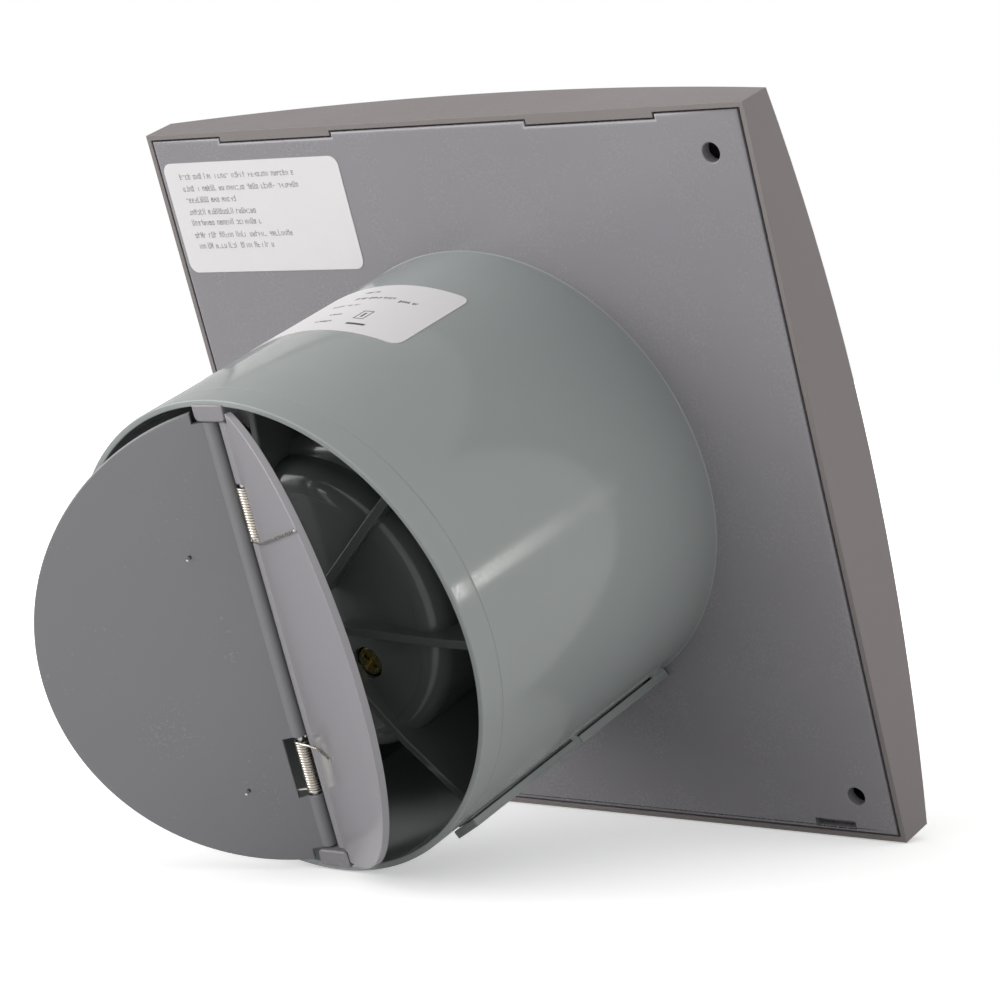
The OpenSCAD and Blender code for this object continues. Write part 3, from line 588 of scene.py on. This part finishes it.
# the flare onto the plate, then the collar behind it
spigot += [(spigot_r(0.3), 0.3), (spigot_r(0.1) + 0.02, 0.1), (ROOT_R + 0.08, 0.03),
           (ROOT_R + 0.16, -0.02), (ROOT_R + 0.16, -1.0)]
spigot += [(BORE_R + 2.4, -1.4), (BORE_R + 2.4, -6.0), (BORE_R + 2.1, -6.5), (BORE_R + 0.4, -6.5)]
housing_piece("housing_spigot", lathe(spigot, 320), "tube")

# ------------------------------------------------------------------ strip over the wire channel
STRIP_R = SPIGOT_R + 0.45       # foot of the strip's side walls
STRIP_WALL_R = STRIP_R + 1.2    # their top
STRIP_LID = (STRIP_R + 1.15, STRIP_R + 1.65)
LOW_Y, HIGH_Y = (0.75, 31.6), (33.4, 67.35)     # the two lengths of the strip


def strip_box(r0, r1, y0, y1, across0, across1):
    verts = [turn(r, y, across, CHANNEL_ANGLE)
             for r in (r0, r1) for y in (y0, y1) for across in (across0, across1)]
    return verts, [(0, 1, 3, 2), (4, 6, 7, 5), (0, 4, 5, 1), (2, 3, 7, 6), (0, 2, 6, 4),
                   (1, 5, 7, 3)]


strip = [(*STRIP_LID, *LOW_Y, -3.4, 3.4), (*STRIP_LID, 31.55, 33.45, -3.0, 3.0),
         (*STRIP_LID, *HIGH_Y, -3.4, 3.4)]
for side in (-1, 1):
    wall = sorted((side * 2.6, side * 3.4))
    neck = sorted((side * 2.4, side * 3.0))
    strip += [
        (STRIP_R, STRIP_WALL_R, *LOW_Y, *wall),
        (STRIP_R, STRIP_WALL_R, *HIGH_Y, *wall),
        (SPIGOT_R - 0.1, STRIP_R + 0.1, 0.75, 5.0, *wall),
        (SPIGOT_R - 0.2, STRIP_WALL_R, 31.5, 33.5, *neck),
    ]
strip += [(STRIP_R, STRIP_WALL_R, 66.2, 67.3, -3.3, 3.3),
          (SPIGOT_R - 0.3, STRIP_R - 0.1, 7.0, 66.6, -CHANNEL_HALF, CHANNEL_HALF)]
strip_object = housing_piece("channel_strip", merge([strip_box(*box) for box in strip]), "tube",
                             replaces="channel_cover")
add_bevel(strip_object, 0.12)

# ------------------------------------------------------------------ motor cup with screw wells
CUP_FILLET = 4.6
CUP_FLAT_R = CUP_R - CUP_FILLET
CUP_FILLET_Y = CUP_END_Y - CUP_FILLET
WELL_AT, WELL_ANGLE = 14.5, -45.0
WELL_R, WELL_BORE_R = 3.3, 1.6
WELL_FOOT_Y = 55.6

cup_wall = [(CUP_R - CUP_WALL, CUP_OPEN_Y + 0.3), (CUP_R - 1.5, CUP_OPEN_Y),
            (CUP_R - 0.3, CUP_OPEN_Y), (CUP_R, CUP_OPEN_Y + 0.3)]
cup_wall += [(CUP_R, y) for y in (40, 46, 52, 57)]
cup_wall += arc(CUP_FLAT_R, CUP_FILLET_Y, CUP_FILLET, 0, 90, 10)
cup_wall += [(CUP_FLAT_R - 0.05, CUP_END_Y), (CUP_FLAT_R - 0.05, CUP_END_Y - CUP_WALL)]
cup_wall += arc(CUP_FLAT_R, CUP_FILLET_Y, CUP_FILLET - CUP_WALL, 90, 0, 8)
cup_wall += [(CUP_R - CUP_WALL, 50)]

wells = [(-WELL_AT * math.cos(rad(a)), WELL_AT * math.sin(rad(a)))
         for a in (WELL_ANGLE, WELL_ANGLE + 180)]
cup_floor = slab(
    [circle(0, 0, CUP_FLAT_R, 160)] + [circle(x, z, WELL_R, 48, hole=True) for x, z in wells],
    CUP_END_Y - CUP_WALL, CUP_END_Y, flat, [(0, 0, 0)] + [(0.1, 0.35, 0.35)] * 2)


def well(cx, cz):
    verts, faces = lathe([
        (WELL_BORE_R, WELL_FOOT_Y), (4.3, WELL_FOOT_Y), (4.3, CUP_END_Y - 1.0),
        (WELL_R, CUP_END_Y - 1.0), (WELL_R, 63.2), (WELL_BORE_R, 63.2)], 48)
    return [(x + cx, y, cz + z) for x, y, z in verts], faces


housing_piece("housing_motor_cup",
              merge([lathe(cup_wall, 200), cup_floor] + [well(*at) for at in wells]),
              "cup", sharp=40)

# ------------------------------------------------------------------ lobe on the +Z side of the cup
LOBE_X, LOBE_Z, LOBE_R = 23.0, 34.0, 9.0
LOBE_FOOT_Z = 19.2


def lobe_outline(foot_z, inset=0.0):
    half, radius = LOBE_X - inset, LOBE_R - inset
    centre_x, centre_z = LOBE_X - LOBE_R, LOBE_Z - LOBE_R
    return vectors([(half, foot_z)] + arc(centre_x, centre_z, radius, 0, 90, 10)
                   + arc(-centre_x, centre_z, radius, 90, 180, 10) + [(-half, foot_z)])


lobe_wall = lobe_outline(LOBE_FOOT_Z) + lobe_outline(LOBE_FOOT_Z, CUP_WALL)[::-1]
housing_piece("housing_motor_lobe", merge([
    slab([lobe_wall], CUP_OPEN_Y, 55.6, flat, [(0.3, 0, 0)]),
    slab([lobe_outline(17.5)], 55.2, 59.4, flat, [(0, 4.0, 4.0)], steps=8),
]), "cup", sharp=40)

# ------------------------------------------------------------------ ribs from the cup to the spigot
RIB_START, RIB_COUNT = -59.5, 7
RIB_HALF = 0.95
RIB_INNER_R, RIB_CUP_R, RIB_OUTER_R = 9.3, 29.4, BORE_R + 0.5
RIB_FOOT_Y = CUP_OPEN_Y + 0.3
CHANNEL_RIB, LOBE_RIB = 0, 3


def rib(number):
    # outline of (radius, y)
    outline = [(RIB_INNER_R, 65), (CUP_FLAT_R, 65), (RIB_CUP_R, 61)]
    if number == CHANNEL_RIB:
        # stops short to leave room for the leads
        outline += [(RIB_CUP_R, 41), (RIB_OUTER_R, 41)]
    elif number == LOBE_RIB:
        # steps out round the lobe
        outline += [(RIB_CUP_R, 58.2), (LOBE_Z - 0.6, 57.6), (LOBE_Z - 0.6, RIB_FOOT_Y),
                    (RIB_OUTER_R, RIB_FOOT_Y)]
    else:
        outline += [(RIB_CUP_R, RIB_FOOT_Y), (RIB_OUTER_R, RIB_FOOT_Y)]
    outline += [(RIB_OUTER_R, 63.1), (CUP_R, 67.3), (12, 69.9), (RIB_INNER_R, 69.5)]
    angle = RIB_START + 360 * number / RIB_COUNT
    return slab([dense(vectors(outline), 6)], -RIB_HALF, RIB_HALF,
                lambda r, y, across: turn(r, y, across, angle), [(0.35, 0.35, 0.35)])


for i in range(RIB_COUNT):
    housing_piece(f"housing_rib_{i + 1}", rib(i), "cup")

# ------------------------------------------------------------------ hinge bosses inside the mouth
BOSS_HALF, BOSS_Z, BOSS_CORNER = 3.9, 45.4, 1.1
boss = arc(-BOSS_HALF + BOSS_CORNER, BOSS_Z + BOSS_CORNER, BOSS_CORNER, 180, 270, 5)
boss += arc(BOSS_HALF - BOSS_CORNER, BOSS_Z + BOSS_CORNER, BOSS_CORNER, 270, 360, 5)
boss += [(x, math.sqrt((BORE_R + 0.4) ** 2 - x * x)) for x in (BOSS_HALF, 2, 0, -2, -BOSS_HALF)]
for tag, sign in (("upper", 1), ("lower", -1)):
    shape = slab([dense(vectors(boss), 2)], HINGE_Y - 2.4, HINGE_Y + 2.1,
                 lambda x, z, y: (x, y, sign * z), [(0.3, 0.35, 0.35)])
    housing_piece(f"housing_hinge_boss_{tag}", shape, "plate")

# ------------------------------------------------------------------ flaps
# In a flap's own frame u runs outward from the pin, z up, and v through its thickness.
FLAP_HALF = 0.75            # half thickness
FLAP_R = BORE_R - 0.9
FLAP_END_Z = 45.1           # ends of the barrel
FLAP_EDGE_U = 0.4           # straight side along the barrel
FLAP_NOTCH_U = 3.6          # notches at both ends of the straight side
GAP_U = 3.4
GAPS = {"left": (-33.9, -21.2), "right": (20.2, 32.4)}  # z span cut out for a spring coil
BARREL_R = {"left": 1.55, "right": 1.3}
PIN_HOLE_R = 0.85
UPPER_HOLE, LOWER_HOLE = (11, 19.4), (12.6, -30.2)      # (u, z) where spring tails pass


def flap_place(side):
    """Maps (u, z, v) of a flap to the fan."""
    sign = 1 if side == "left" else -1
    cosine, sine = math.cos(rad(OPEN_ANGLE[side])), math.sin(rad(OPEN_ANGLE[side]))

    def place(u, z, v):
        return (sign * (HINGE_X + u * cosine - v * sine), HINGE_Y + u * sine + v * cosine, z)
    return place


def flap_outline(gap, count=96):
    start = -math.acos((FLAP_NOTCH_U + HINGE_X) / FLAP_R)
    turns = [start + (-start - start) * k / count for k in range(count + 1)]
    return vectors(
        [(FLAP_EDGE_U, -FLAP_END_Z), (FLAP_NOTCH_U, -FLAP_END_Z)]
        + [(FLAP_R * math.cos(t) - HINGE_X, FLAP_R * math.sin(t)) for t in turns]
        + [(FLAP_NOTCH_U, FLAP_END_Z), (FLAP_EDGE_U, FLAP_END_Z),
           (FLAP_EDGE_U, gap[1]), (GAP_U, gap[1]), (GAP_U, gap[0]), (FLAP_EDGE_U, gap[0])])


def barrel(z0, z1, outer, place, count=40, chamfer=0.15):
    inner = PIN_HOLE_R
    profile = [(inner, z0 + chamfer), (inner + chamfer, z0), (outer - chamfer, z0),
               (outer, z0 + chamfer), (outer, z1 - chamfer), (outer - chamfer, z1),
               (inner + chamfer, z1), (inner, z1 - chamfer)]
    turns = [2 * math.pi * j / count for j in range(count)]
    verts = [place(r * math.cos(t), z, r * math.sin(t)) for t in turns for r, z in profile]
    return verts, skin(count, len(profile), closed=True)


for side, gap in GAPS.items():
    place = flap_place(side)
    loops, edges = [dense(flap_outline(gap), 6)], [(0.18, 0.18, 0.18)]
    if side == "left":
        for u, z in (UPPER_HOLE, LOWER_HOLE):
            loops.append(circle(u, z, 0.38, 20, hole=True))
            edges.append((0.08, 0.08, 0.08))
    parts = [slab(loops, -FLAP_HALF, FLAP_HALF, place, edges)]
    for z0, z1 in ((-FLAP_END_Z, gap[0]), (gap[1], FLAP_END_Z)):
        parts.append(barrel(z0, z1, BARREL_R[side], place))
    piece(f"flap_{side}", merge(parts), f"flap_{side}", f"flap_{side}", "flap_plastic",
          replaces=f"valve_flap_{side}")

# ------------------------------------------------------------------ springs
WIRE_R, COIL_R = 0.27, 1.25
COIL_PITCH, COIL_STEPS = 0.56, 20           # rise and points per turn
WIRE_V = FLAP_HALF + WIRE_R + 0.12          # a wire lying over a flap's face
LEG_V = WIRE_V - 0.12                       # a wire touching it
TAIL_V = FLAP_HALF + 1.9                    # end of a tail that passes through the flap
on_left, on_right = flap_place("left"), flap_place("right")


def wire(name, path, body, **options):
    piece(name, sweep(path, WIRE_R), body, "spring", "spring_wire", weighted=False, **options)


def coil_path(place, gap, start, direction, extra):
    """Whole turns that fit the gap, and `extra` steps more. Returns the path and its z range."""
    z0 = gap[0] + 0.55
    steps = int((gap[1] - gap[0] - 1.1) / COIL_PITCH) * COIL_STEPS + extra
    path = []
    for k in range(steps + 1):
        angle = rad(start + direction * k * 360 / COIL_STEPS)
        path.append(place(COIL_R * math.cos(angle), z0 + COIL_PITCH * k / COIL_STEPS,
                          COIL_R * math.sin(angle)))
    return path, z0, z0 + COIL_PITCH * steps / COIL_STEPS


coil, z0, z1 = coil_path(on_right, GAPS["right"], start=90, direction=1, extra=3)
wire("spring_upper_coil", coil, "casing", replaces="valve_spring_upper")
wire("spring_upper_leg", eased([
    on_right(34, 31.5, LEG_V), on_right(5, 21.2, LEG_V), on_right(0.6, z0, COIL_R),
], 2.0), "flap_right")
wire("spring_upper_tail", eased([
    on_left(4.6, 26.5, -WIRE_V - 0.1), on_left(*UPPER_HOLE, -WIRE_V),
    on_left(11.15, 19.5, TAIL_V),
], 0.9), "flap_left")
wire("spring_upper_link", [coil[-1]] + eased([
    (-0.65, HINGE_Y - 0.5, z1), (-0.62, HINGE_Y - 2.5, z1 - 1.2), (2.4, HINGE_Y - 2.7, z1 - 4),
    on_left(4.4, 26.7, -WIRE_V - 0.1),
], 0.8), "casing")

coil, z0, z1 = coil_path(on_left, GAPS["left"], start=270, direction=-1, extra=6)
wire("spring_lower_coil", coil, "casing", replaces="valve_spring_lower")
wire("spring_lower_tail", eased([
    on_left(12.8, -30.1, TAIL_V), on_left(*LOWER_HOLE, -WIRE_V),
    on_left(5, z0 + 0.6, -WIRE_V), on_left(0.6, z0, -COIL_R),
], 0.9), "flap_left")
wire("spring_lower_leg", eased([
    (-0.2, HINGE_Y + 2.4, z1 + 0.1), (-2.2, HINGE_Y + 2.6, z1 + 0.1),
    on_right(5, z1, LEG_V), on_right(12, z1, LEG_V),
], 0.8), "flap_right")
wire("spring_lower_link", [
    coil[-1], (0.5, HINGE_Y + 1.5, z1 + 0.05), (-0.1, HINGE_Y + 2.35, z1 + 0.1),
], "casing")

# ------------------------------------------------------------------ impeller
BLADES = 7
BLADE_R0, BLADE_R1 = 21.0, 46.4
BLADE_Y, BLADE_Y_MIN, BLADE_Y_MAX = 19.5, 9.4, 29.6
BLADE_CAMBER = 1.6
HUB = [     # (radius, y)
    (4.4, 29.0), (1.5, 29.0), (1.5, 4.6), (3.0, 4.1), (8, 4.35), (13, 5.1), (17, 6.2),
    (19.6, 7.4), (21.2, 8.9), (21.85, 10.6), (22, 12.5), (22, 29.6), (21.6, 30), (20.6, 30),
    (20.2, 29.6), (20.2, 11.4), (19, 9.8), (16, 8.6), (10, 7.5), (4.9, 7.2), (4.4, 7.7)]


def blade(start, rows=18, columns=14):
    """A twisted, cambered blade: one closed ring of points per radius, t from root to tip."""
    verts = []
    size = 2 * columns
    for i in range(rows + 1):
        t = i / rows
        r = BLADE_R0 + (BLADE_R1 - BLADE_R0) * t
        pitch = rad(44 - 15 * t)
        chord = 21.5 + 6.5 * math.sin(math.pi * 0.5 * t)
        if t > 0.8:
            chord *= 1 - 0.22 * ((t - 0.8) / 0.2) ** 2
        thick = 1.7 - 0.5 * t
        lean = rad(9 * t * t)
        for k in range(size):
            s = k / columns if k < columns else 2 - k / columns
            sign = 1 if k < columns else -1
            x = (s - 0.5) * chord
            envelope = math.sqrt(max(0.0, 1 - (2 * abs(s - 0.5)) ** 6))
            camber = BLADE_CAMBER * (1 - (2 * (s - 0.5)) ** 2)
            height = camber + sign * thick / 2 * envelope
            tangential = x * math.cos(pitch) + height * math.sin(pitch)
            axial = -x * math.sin(pitch) + height * math.cos(pitch)
            a = start + lean + tangential / r
            y = min(BLADE_Y_MAX, max(BLADE_Y_MIN, BLADE_Y + axial))
            verts.append((r * math.cos(a), y, -r * math.sin(a)))
    faces = skin(rows + 1, size)
    faces += [tuple(range(size)), tuple(rows * size + k for k in range(size))]
    return verts, faces


piece("impeller_hub_and_blades",
      merge([lathe(HUB, 128)] + [blade(2 * math.pi * i / BLADES) for i in range(BLADES)]),
      "rotor", "impeller", "impeller_plastic", sharp=40, replaces="impeller")


# ------------------------------------------------------------------ stickers
# u runs along a sticker, v across it, and h is the height over its surface.
STICKER_CORNER, STICKER_TOP, PRINT_FOOT = 2.2, 0.13, 0.1
MM_PER_DEGREE = SPIGOT_R * math.pi / 180    # along the outside of the spigot


def sheet(u0, u1, v0, v1, place, h0, columns, rows):
    """A thin sheet with rounded corners, from h0 to STICKER_TOP."""
    corner = STICKER_CORNER
    rounding = [corner * (1 - math.cos(rad(90 * k / 6))) for k in range(7)]
    stations = {u0 + (u1 - u0) * k / columns for k in range(columns + 1)}
    stations |= {u0 + d for d in rounding} | {u1 - d for d in rounding}
    stations = sorted(stations)
    verts, faces = [], []
    for h in (h0, STICKER_TOP):
        for u in stations:
            inset = 0.0
            end = min(u - u0, u1 - u)
            if end < corner:
                inset = corner - math.sqrt(max(0.0, corner * corner - (corner - end) ** 2))
            for k in range(rows + 1):
                verts.append(place(u, v0 + inset + (v1 - v0 - 2 * inset) * k / rows, h))
    m, n = rows + 1, len(stations)
    top = n * m
    for i in range(n - 1):
        for k in range(rows):
            quad = (i * m + k, i * m + k + 1, (i + 1) * m + k + 1, (i + 1) * m + k)
            faces += [quad, tuple(top + x for x in quad[::-1])]
        for k in (0, rows):
            faces.append((i * m + k, (i + 1) * m + k, top + (i + 1) * m + k, top + i * m + k))
    for i in (0, n - 1):
        for k in range(rows):
            faces.append((i * m + k, i * m + k + 1, top + i * m + k + 1, top + i * m + k))
    return verts, faces


def printed(place, rows, top_h):
    """Printed bars as thin raised patches. rows: (u0, u1, v0, v1)."""
    parts = []
    for u0, u1, v0, v1 in rows:
        n = max(1, int(abs(u1 - u0) / 1.2))
        verts, faces = [], []
        for h in (PRINT_FOOT, top_h):
            for k in range(n + 1):
                u = u0 + (u1 - u0) * k / n
                verts += [place(u, v0, h), place(u, v1, h)]
        t = 2 * (n + 1)
        for k in range(0, 2 * n, 2):
            quad = (k, k + 1, k + 3, k + 2)
            faces += [quad, tuple(t + x for x in quad[::-1]),
                      (k, k + 2, t + k + 2, t + k), (k + 1, k + 3, t + k + 3, t + k + 1)]
        for k in (0, 2 * n):
            faces.append((k, k + 1, t + k + 1, t + k))
        parts.append((verts, faces))
    return merge(parts)


def strokes(u0, u1, v, height, seed, pen=0.16):
    """A line of print as broken strokes that spell nothing."""
    rnd = np.random.RandomState(seed)
    out, u, d = [], u0, 1 if u1 > u0 else -1
    cell = height * 0.62
    foot = v - height / 2
    while (u1 - u) * d > cell:
        for _ in range(int(3 + 7 * rnd.rand())):
            if (u1 - u) * d < cell:
                break
            a, b = u, u + d * cell * 0.72
            tall = height if rnd.rand() < 0.3 else height * 0.7
            for drawn, (start, end) in ((rnd.rand() < 0.8, (a, a + d * pen)),
                                        (rnd.rand() < 0.6, (b - d * pen, b))):
                if drawn:
                    out.append((start, end, foot, foot + tall))
            for drawn, y in ((rnd.rand() < 0.5, foot),
                             (rnd.rand() < 0.5, foot + height * 0.7 - pen),
                             (rnd.rand() < 0.3, foot + height * 0.35)):
                if drawn:
                    out.append((a, b, y, y + pen))
            u += d * cell
        u += d * cell * 0.8
    return out


def sticker(name, shape, material="label", **options):
    piece(name, shape, "casing", material, "label_stock", **options)


# sticker on the +Y face of the plate
PLATE_LINES = (     # (start x, end x, middle z)
    (71.1, 37.8, 68.6), (71.0, 36.8, 65.9), (71.0, 55.5, 63.35), (71.2, 50.7, 60.6),
    (71.1, 50.5, 58.2), (71.2, 42.5, 55.35), (70.8, 48.6, 52.9))
sticker("sticker_plate", sheet(25.3, 75.3, 46.8, 71.6, flat, 0.0, columns=20, rows=8),
        sharp=40, replaces="rear_label")
rows = []
for i, (start, end, z) in enumerate(PLATE_LINES):
    rows += strokes(start, end, z, 1.35, seed=11 + i)
sticker("sticker_plate_print", printed(flat, rows, 0.14), "ink_grey", weighted=False)


def on_spigot(u, y, h):
    """u is the length round the spigot from +Z towards +X."""
    r = spigot_r(y) + h
    angle = rad(u / MM_PER_DEGREE)
    return (r * math.sin(angle), y, r * math.cos(angle))


# sticker round the +Z side of the spigot
SPIGOT_LINES = (    # (start degrees, end degrees, middle y, height)
    (5.9, -6.5, 26.4, 1.0), (-7.7, -13.8, 27.4, 1.1), (6.3, 0.6, 23.0, 0.7),
    (5.2, 1.2, 30.0, 0.7), (9.7, 6.2, 30.0, 0.7), (5.9, 1.5, 35.0, 0.7), (7.0, 1.1, 38.6, 0.9))
SPIGOT_BARS = (     # (start degrees, end degrees, y0, y1): a bar, then a frame with a bar in it
    (-3.4, -8.7, 39.2, 40.0),
    (-3.0, -6.0, 33.2, 33.45), (-3.0, -6.0, 36.9, 37.15), (-3.0, -3.3, 33.2, 37.15),
    (-5.7, -6.0, 33.2, 37.15), (-4.2, -4.8, 34.2, 36.2))
sticker("sticker_spigot",
        sheet(-21 * MM_PER_DEGREE, 36 * MM_PER_DEGREE, 19.3, 43.3, on_spigot, 0.01,
              columns=90, rows=4), sharp=40, replaces="spigot_label")
rows = []
for i, (start, end, y, height) in enumerate(SPIGOT_LINES):
    rows += strokes(start * MM_PER_DEGREE, end * MM_PER_DEGREE, y, height, seed=40 + i,
                    pen=0.2 if height > 0.8 else 0.12)
rows += [(start * MM_PER_DEGREE, end * MM_PER_DEGREE, y0, y1)
         for start, end, y0, y1 in SPIGOT_BARS]
sticker("sticker_spigot_print", printed(on_spigot, rows, 0.145), "ink_dark", weighted=False)

# ------------------------------------------------------------------ camera
CAMERA_AXES = (     # its x, y and z axes in the world
    (-0.77602426, -0.5855356, -0.23438092),
    (0.02563429, -0.40059338, 0.91589728),
    (-0.63018191, 0.70475032, 0.32587997))
CAMERA_AT = (-0.44419, 0.50237, 0.22716)
camera = new_object("camera", bpy.data.cameras.new("camera"))
camera.data.lens = 122.79
camera.data.sensor_width = 36.0
camera.data.clip_start = 0.01
camera.data.clip_end = 20
columns = [(*axis, 0) for axis in CAMERA_AXES] + [(*CAMERA_AT, 1)]
camera.matrix_world = Matrix(columns).transposed()
scene.camera = camera

# ------------------------------------------------------------------ floor, under the tilted fan
FLOOR_UP = Vector((0, -0.338, 0.9411)).normalized()
FLOOR_X = Vector((1, 0, 0))
FLOOR_Y = FLOOR_UP.cross(FLOOR_X)
FLOOR_LEVEL = -0.0736
FLOOR_HALF = 2.2


def floor_material():
    """White from above and clear from below; overexposed to the camera away from the fan."""
    material, tree = empty_material("floor_white")
    coord = node(tree, "TexCoord").outputs["Object"]
    tone = mix(tree, noise(tree, coord, scale=30, detail=3),
               (0.86, 0.86, 0.86, 1), (0.89, 0.89, 0.89, 1))
    diffuse = node(tree, "BsdfDiffuse", {"Color": tone})
    distance = node(tree, "VectorMath", {0: coord}, operation="LENGTH").outputs["Value"]
    glow = node(tree, "Math", {
        0: mapped(tree, distance, source=(0.14, 0.34), target=(0.42, 1.0)),
        1: node(tree, "LightPath").outputs["Is Camera Ray"],
    }, operation="MULTIPLY")
    emission = node(tree, "Emission", {"Strength": glow.outputs[0]})
    lit = node(tree, "AddShader", {0: diffuse.outputs[0], 1: emission.outputs[0]})
    sides = node(tree, "MixShader", {
        0: node(tree, "NewGeometry").outputs["Backfacing"],
        1: lit.outputs[0],
        2: node(tree, "BsdfTransparent").outputs[0],
    })
    node(tree, "OutputMaterial", {0: sides.outputs[0]})
    return material


corners = [tuple(FLOOR_UP * FLOOR_LEVEL + FLOOR_X * (x * FLOOR_HALF) + FLOOR_Y * (y * FLOOR_HALF))
           for x, y in ((-1, -1), (1, -1), (1, 1), (-1, 1))]
floor_mesh = bpy.data.meshes.new("floor")
floor_mesh.from_pydata(corners, [], [(0, 1, 2, 3)])
floor = new_object("floor", floor_mesh)
floor_mesh.materials.append(floor_material())

# ------------------------------------------------------------------ light from the world
AMBIENT = 1.08
DARKEST = 0.03          # the sum of the lobes never falls below this
LOBE_SHARPNESS = 8
# soft lobes of light all round, and dark ones that take from it: (azimuth, height, strength)
LIGHT_LOBES = (
    (40, 6, 5.1), (0, 6, -0.25), (80, 6, -0.25), (120, 6, -0.25),
    (160, 6, -0.25), (240, 6, -0.25), (280, 6, -0.25), (320, 6, -0.25),
    (20, 38, -0.25), (140, 38, -0.25), (260, 38, -0.25), (320, 38, -0.25),
    (0, 68, -0.25), (90, 68, 0.22), (180, 68, -0.25), (270, 68, -0.25))


def from_floor(azimuth, height):
    """Direction at an azimuth round the floor's normal and a height over it, in degrees."""
    a, e = rad(azimuth), rad(height)
    return (FLOOR_X * math.cos(a) + FLOOR_Y * math.sin(a)) * math.cos(e) + FLOOR_UP * math.sin(e)


world = bpy.data.worlds.new("world")
scene.world = world
world.use_nodes = True
tree = world.node_tree
tree.nodes.clear()
direction = node(tree, "TexCoord").outputs["Generated"]
total = node(tree, "Value", name="ambient").outputs[0]
total.default_value = AMBIENT
for i, (azimuth, height, strength) in enumerate(LIGHT_LOBES):
    # strength * exp(sharpness * (cosine - 1))
    cosine = node(tree, "VectorMath", {0: direction, 1: from_floor(azimuth, height)},
                  operation="DOT_PRODUCT")
    fall = node(tree, "Math", {0: cosine.outputs["Value"], 1: LOBE_SHARPNESS,
                               2: -LOBE_SHARPNESS}, operation="MULTIPLY_ADD")
    power = node(tree, "Math", {0: fall.outputs[0]}, operation="EXPONENT")
    total = node(tree, "Math", {0: power.outputs[0], 1: strength, 2: total},
                 operation="MULTIPLY_ADD", name="lobe_%02d" % i).outputs[0]
limited = node(tree, "Math", {0: total, 1: DARKEST}, operation="MAXIMUM")
lighting = node(tree, "Background", {"Strength": limited.outputs[0],
                                     "Color": (1.0, 0.995, 0.99, 1)})
backdrop = node(tree, "Background", {"Strength": 1.0, "Color": (1, 1, 1, 1)})
chosen = node(tree, "MixShader", {0: node(tree, "LightPath").outputs["Is Camera Ray"],
                                  1: lighting.outputs[0], 2: backdrop.outputs[0]})
node(tree, "OutputWorld", {0: chosen.outputs[0]})

# ------------------------------------------------------------------ strip light
STRIP_TARGET = Vector((-0.048, 0.082, 0.012))
STRIP_DIRECTION = Vector((-0.722, -0.69, -0.02)).normalized()   # from the target to the light
STRIP_DISTANCE = 1.3
light = bpy.data.lights.new("strip", "AREA")
light.shape = "RECTANGLE"
light.size = 0.035
light.size_y = 0.11
light.energy = 0.15
light.color = (1.0, 0.97, 0.93)
lamp = new_object("strip", light)
lamp.location = STRIP_TARGET + STRIP_DIRECTION * STRIP_DISTANCE
lamp.rotation_mode = "QUATERNION"
lamp.rotation_quaternion = (-STRIP_DIRECTION).to_track_quat("-Z", "Y")

scene.view_settings.view_transform = "Standard"
scene.view_settings.look = "None"
